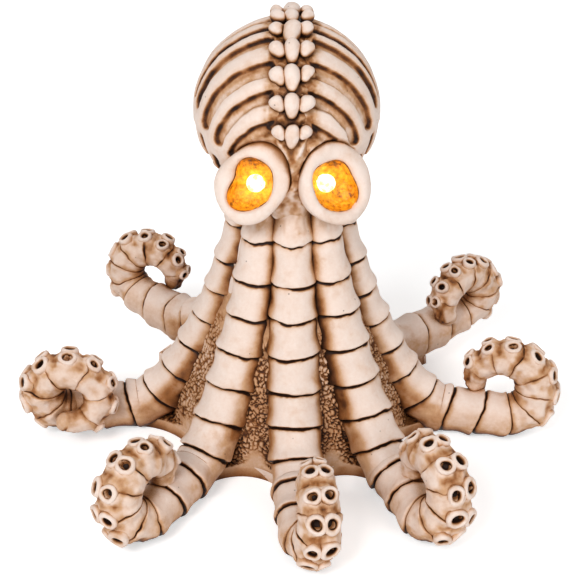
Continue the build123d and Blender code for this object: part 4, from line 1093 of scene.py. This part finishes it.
finishes = {
    "web_resin": webbing,
    "inner_resin": resin("inner_resin_look", 0.42, 0.4),
    "bone_resin": bone,
    "lamp_body": lamp_look(),
    "gilt_bowl": bpy.data.materials["gilt_left_look"],
    "lead_metal": plain("lead_look", (150, 150, 146), (205, 204, 198), 0.32, 0.0006, 1.0, 0.05),
    "wire_red": plain("wire_red_look", (120, 12, 8), (172, 24, 16), 0.42, 0.0009, 0.0, 0.05),
    "wire_black": plain("wire_black_look", (14, 14, 15), (34, 34, 36), 0.42, 0.0009, 0.0, 0.05),
    "box_plastic": plain("box_look", (26, 26, 28), (44, 44, 47), 0.55, 0.0004, 0.0, 0.35),
    "door_plastic": plain("door_look", (30, 30, 32), (52, 52, 55), 0.52, 0.0004, 0.0, 0.35),
    "screw_steel": plain("screw_look", (150, 152, 156), (206, 208, 210), 0.3, 0.0005, 1.0, 0.12),
    "cell_steel": plain("cell_look", (172, 172, 170), (220, 220, 216), 0.24, 0.0008, 1.0, 0.06),
    "contact_metal": plain("contact_look", (160, 156, 142), (214, 210, 196), 0.28, 0.0006, 1.0, 0.08),
    "switch_plastic": plain("switch_look", (18, 18, 19), (36, 36, 38), 0.4, 0.0004, 0.0, 0.15),
    "slider_plastic": plain("slider_look", (28, 28, 30), (54, 54, 57), 0.36, 0.0004, 0.0, 0.15),
}
slots = {p["node"]: p["material_slot"] for p in frame["record"]["subparts"]}
for name, node in frame["nodes"].items():
    node.data.materials.clear()
    node.data.materials.append(finishes[slots[name]])


# Floor, lights, world and camera
def backdrop():
    # pale floor that the camera sees as nearly white
    n = Nodes("floor_look")
    ray = n.add("ShaderNodeLightPath").outputs
    seen = n.maths("MAXIMUM", ray["Is Glossy Ray"], ray["Is Transmission Ray"])
    seen = n.maths("MAXIMUM", ray["Is Camera Ray"], seen)
    grain = n.maths("MULTIPLY", n.noise(0.02, 2.0, 0.5), 0.03)
    return n.look(
        Base_Color=n.mix(grain, (0.93, 0.93, 0.93, 1), linear((246, 246, 246))),
        Roughness=0.9, Specular_IOR_Level=0.1, Emission_Color=(1, 1, 1, 1),
        Emission_Strength=n.maths("MULTIPLY", seen, FLOOR_LIFT),
    )


def add_floor():
    mesh = bpy.data.meshes.new("floor")
    corners = [(FLOOR_HALF * x, FLOOR_HALF * y, 0) for x, y in ((-1, -1), (1, -1), (1, 1), (-1, 1))]
    mesh.from_pydata(corners, [], [(0, 1, 2, 3)])
    mesh.materials.append(backdrop())
    floor = added("floor", mesh)


def add_light(name, place, size, power):
    light = bpy.data.lights.new(name, "AREA")
    light.shape = "DISK"
    light.size = size
    light.energy = power
    holder = added(name, light)
    holder.location = place
    holder.rotation_euler = (Vector(AIM) - Vector(place)).to_track_quat("-Z", "Y").to_euler()


def set_world():
    # white where the camera sees it, and a dimmer white light on the object
    world = bpy.context.scene.world or bpy.data.worlds.new("world")
    bpy.context.scene.world = world
    world.use_nodes = True
    tree = world.node_tree
    for old in list(tree.nodes):
        tree.nodes.remove(old)
    out = tree.nodes.new("ShaderNodeOutputWorld")
    pick = tree.nodes.new("ShaderNodeMixShader")
    path = tree.nodes.new("ShaderNodeLightPath")
    tree.links.new(path.outputs["Is Camera Ray"], pick.inputs[0])
    for inlet, strength in ((1, WORLD_LIGHT), (2, 1.0)):
        white = tree.nodes.new("ShaderNodeBackground")
        white.inputs["Color"].default_value = (1, 1, 1, 1)
        white.inputs["Strength"].default_value = strength
        tree.links.new(white.outputs[0], pick.inputs[inlet])
    tree.links.new(pick.outputs[0], out.inputs[0])


def add_camera():
    lens = bpy.data.cameras.new("camera")
    lens.lens = LENS
    lens.sensor_width = SENSOR
    camera = added("camera", lens)
    camera.location = CAMERA_PLACE
    camera.rotation_euler = (math.radians(90 - CAMERA_DIP), 0, math.radians(CAMERA_PAN))
    bpy.context.scene.camera = camera


add_floor()
for light_name, settings in LIGHTS.items():
    add_light(light_name, *settings)
set_world()
add_camera()
bpy.context.scene.view_settings.view_transform = "Standard"
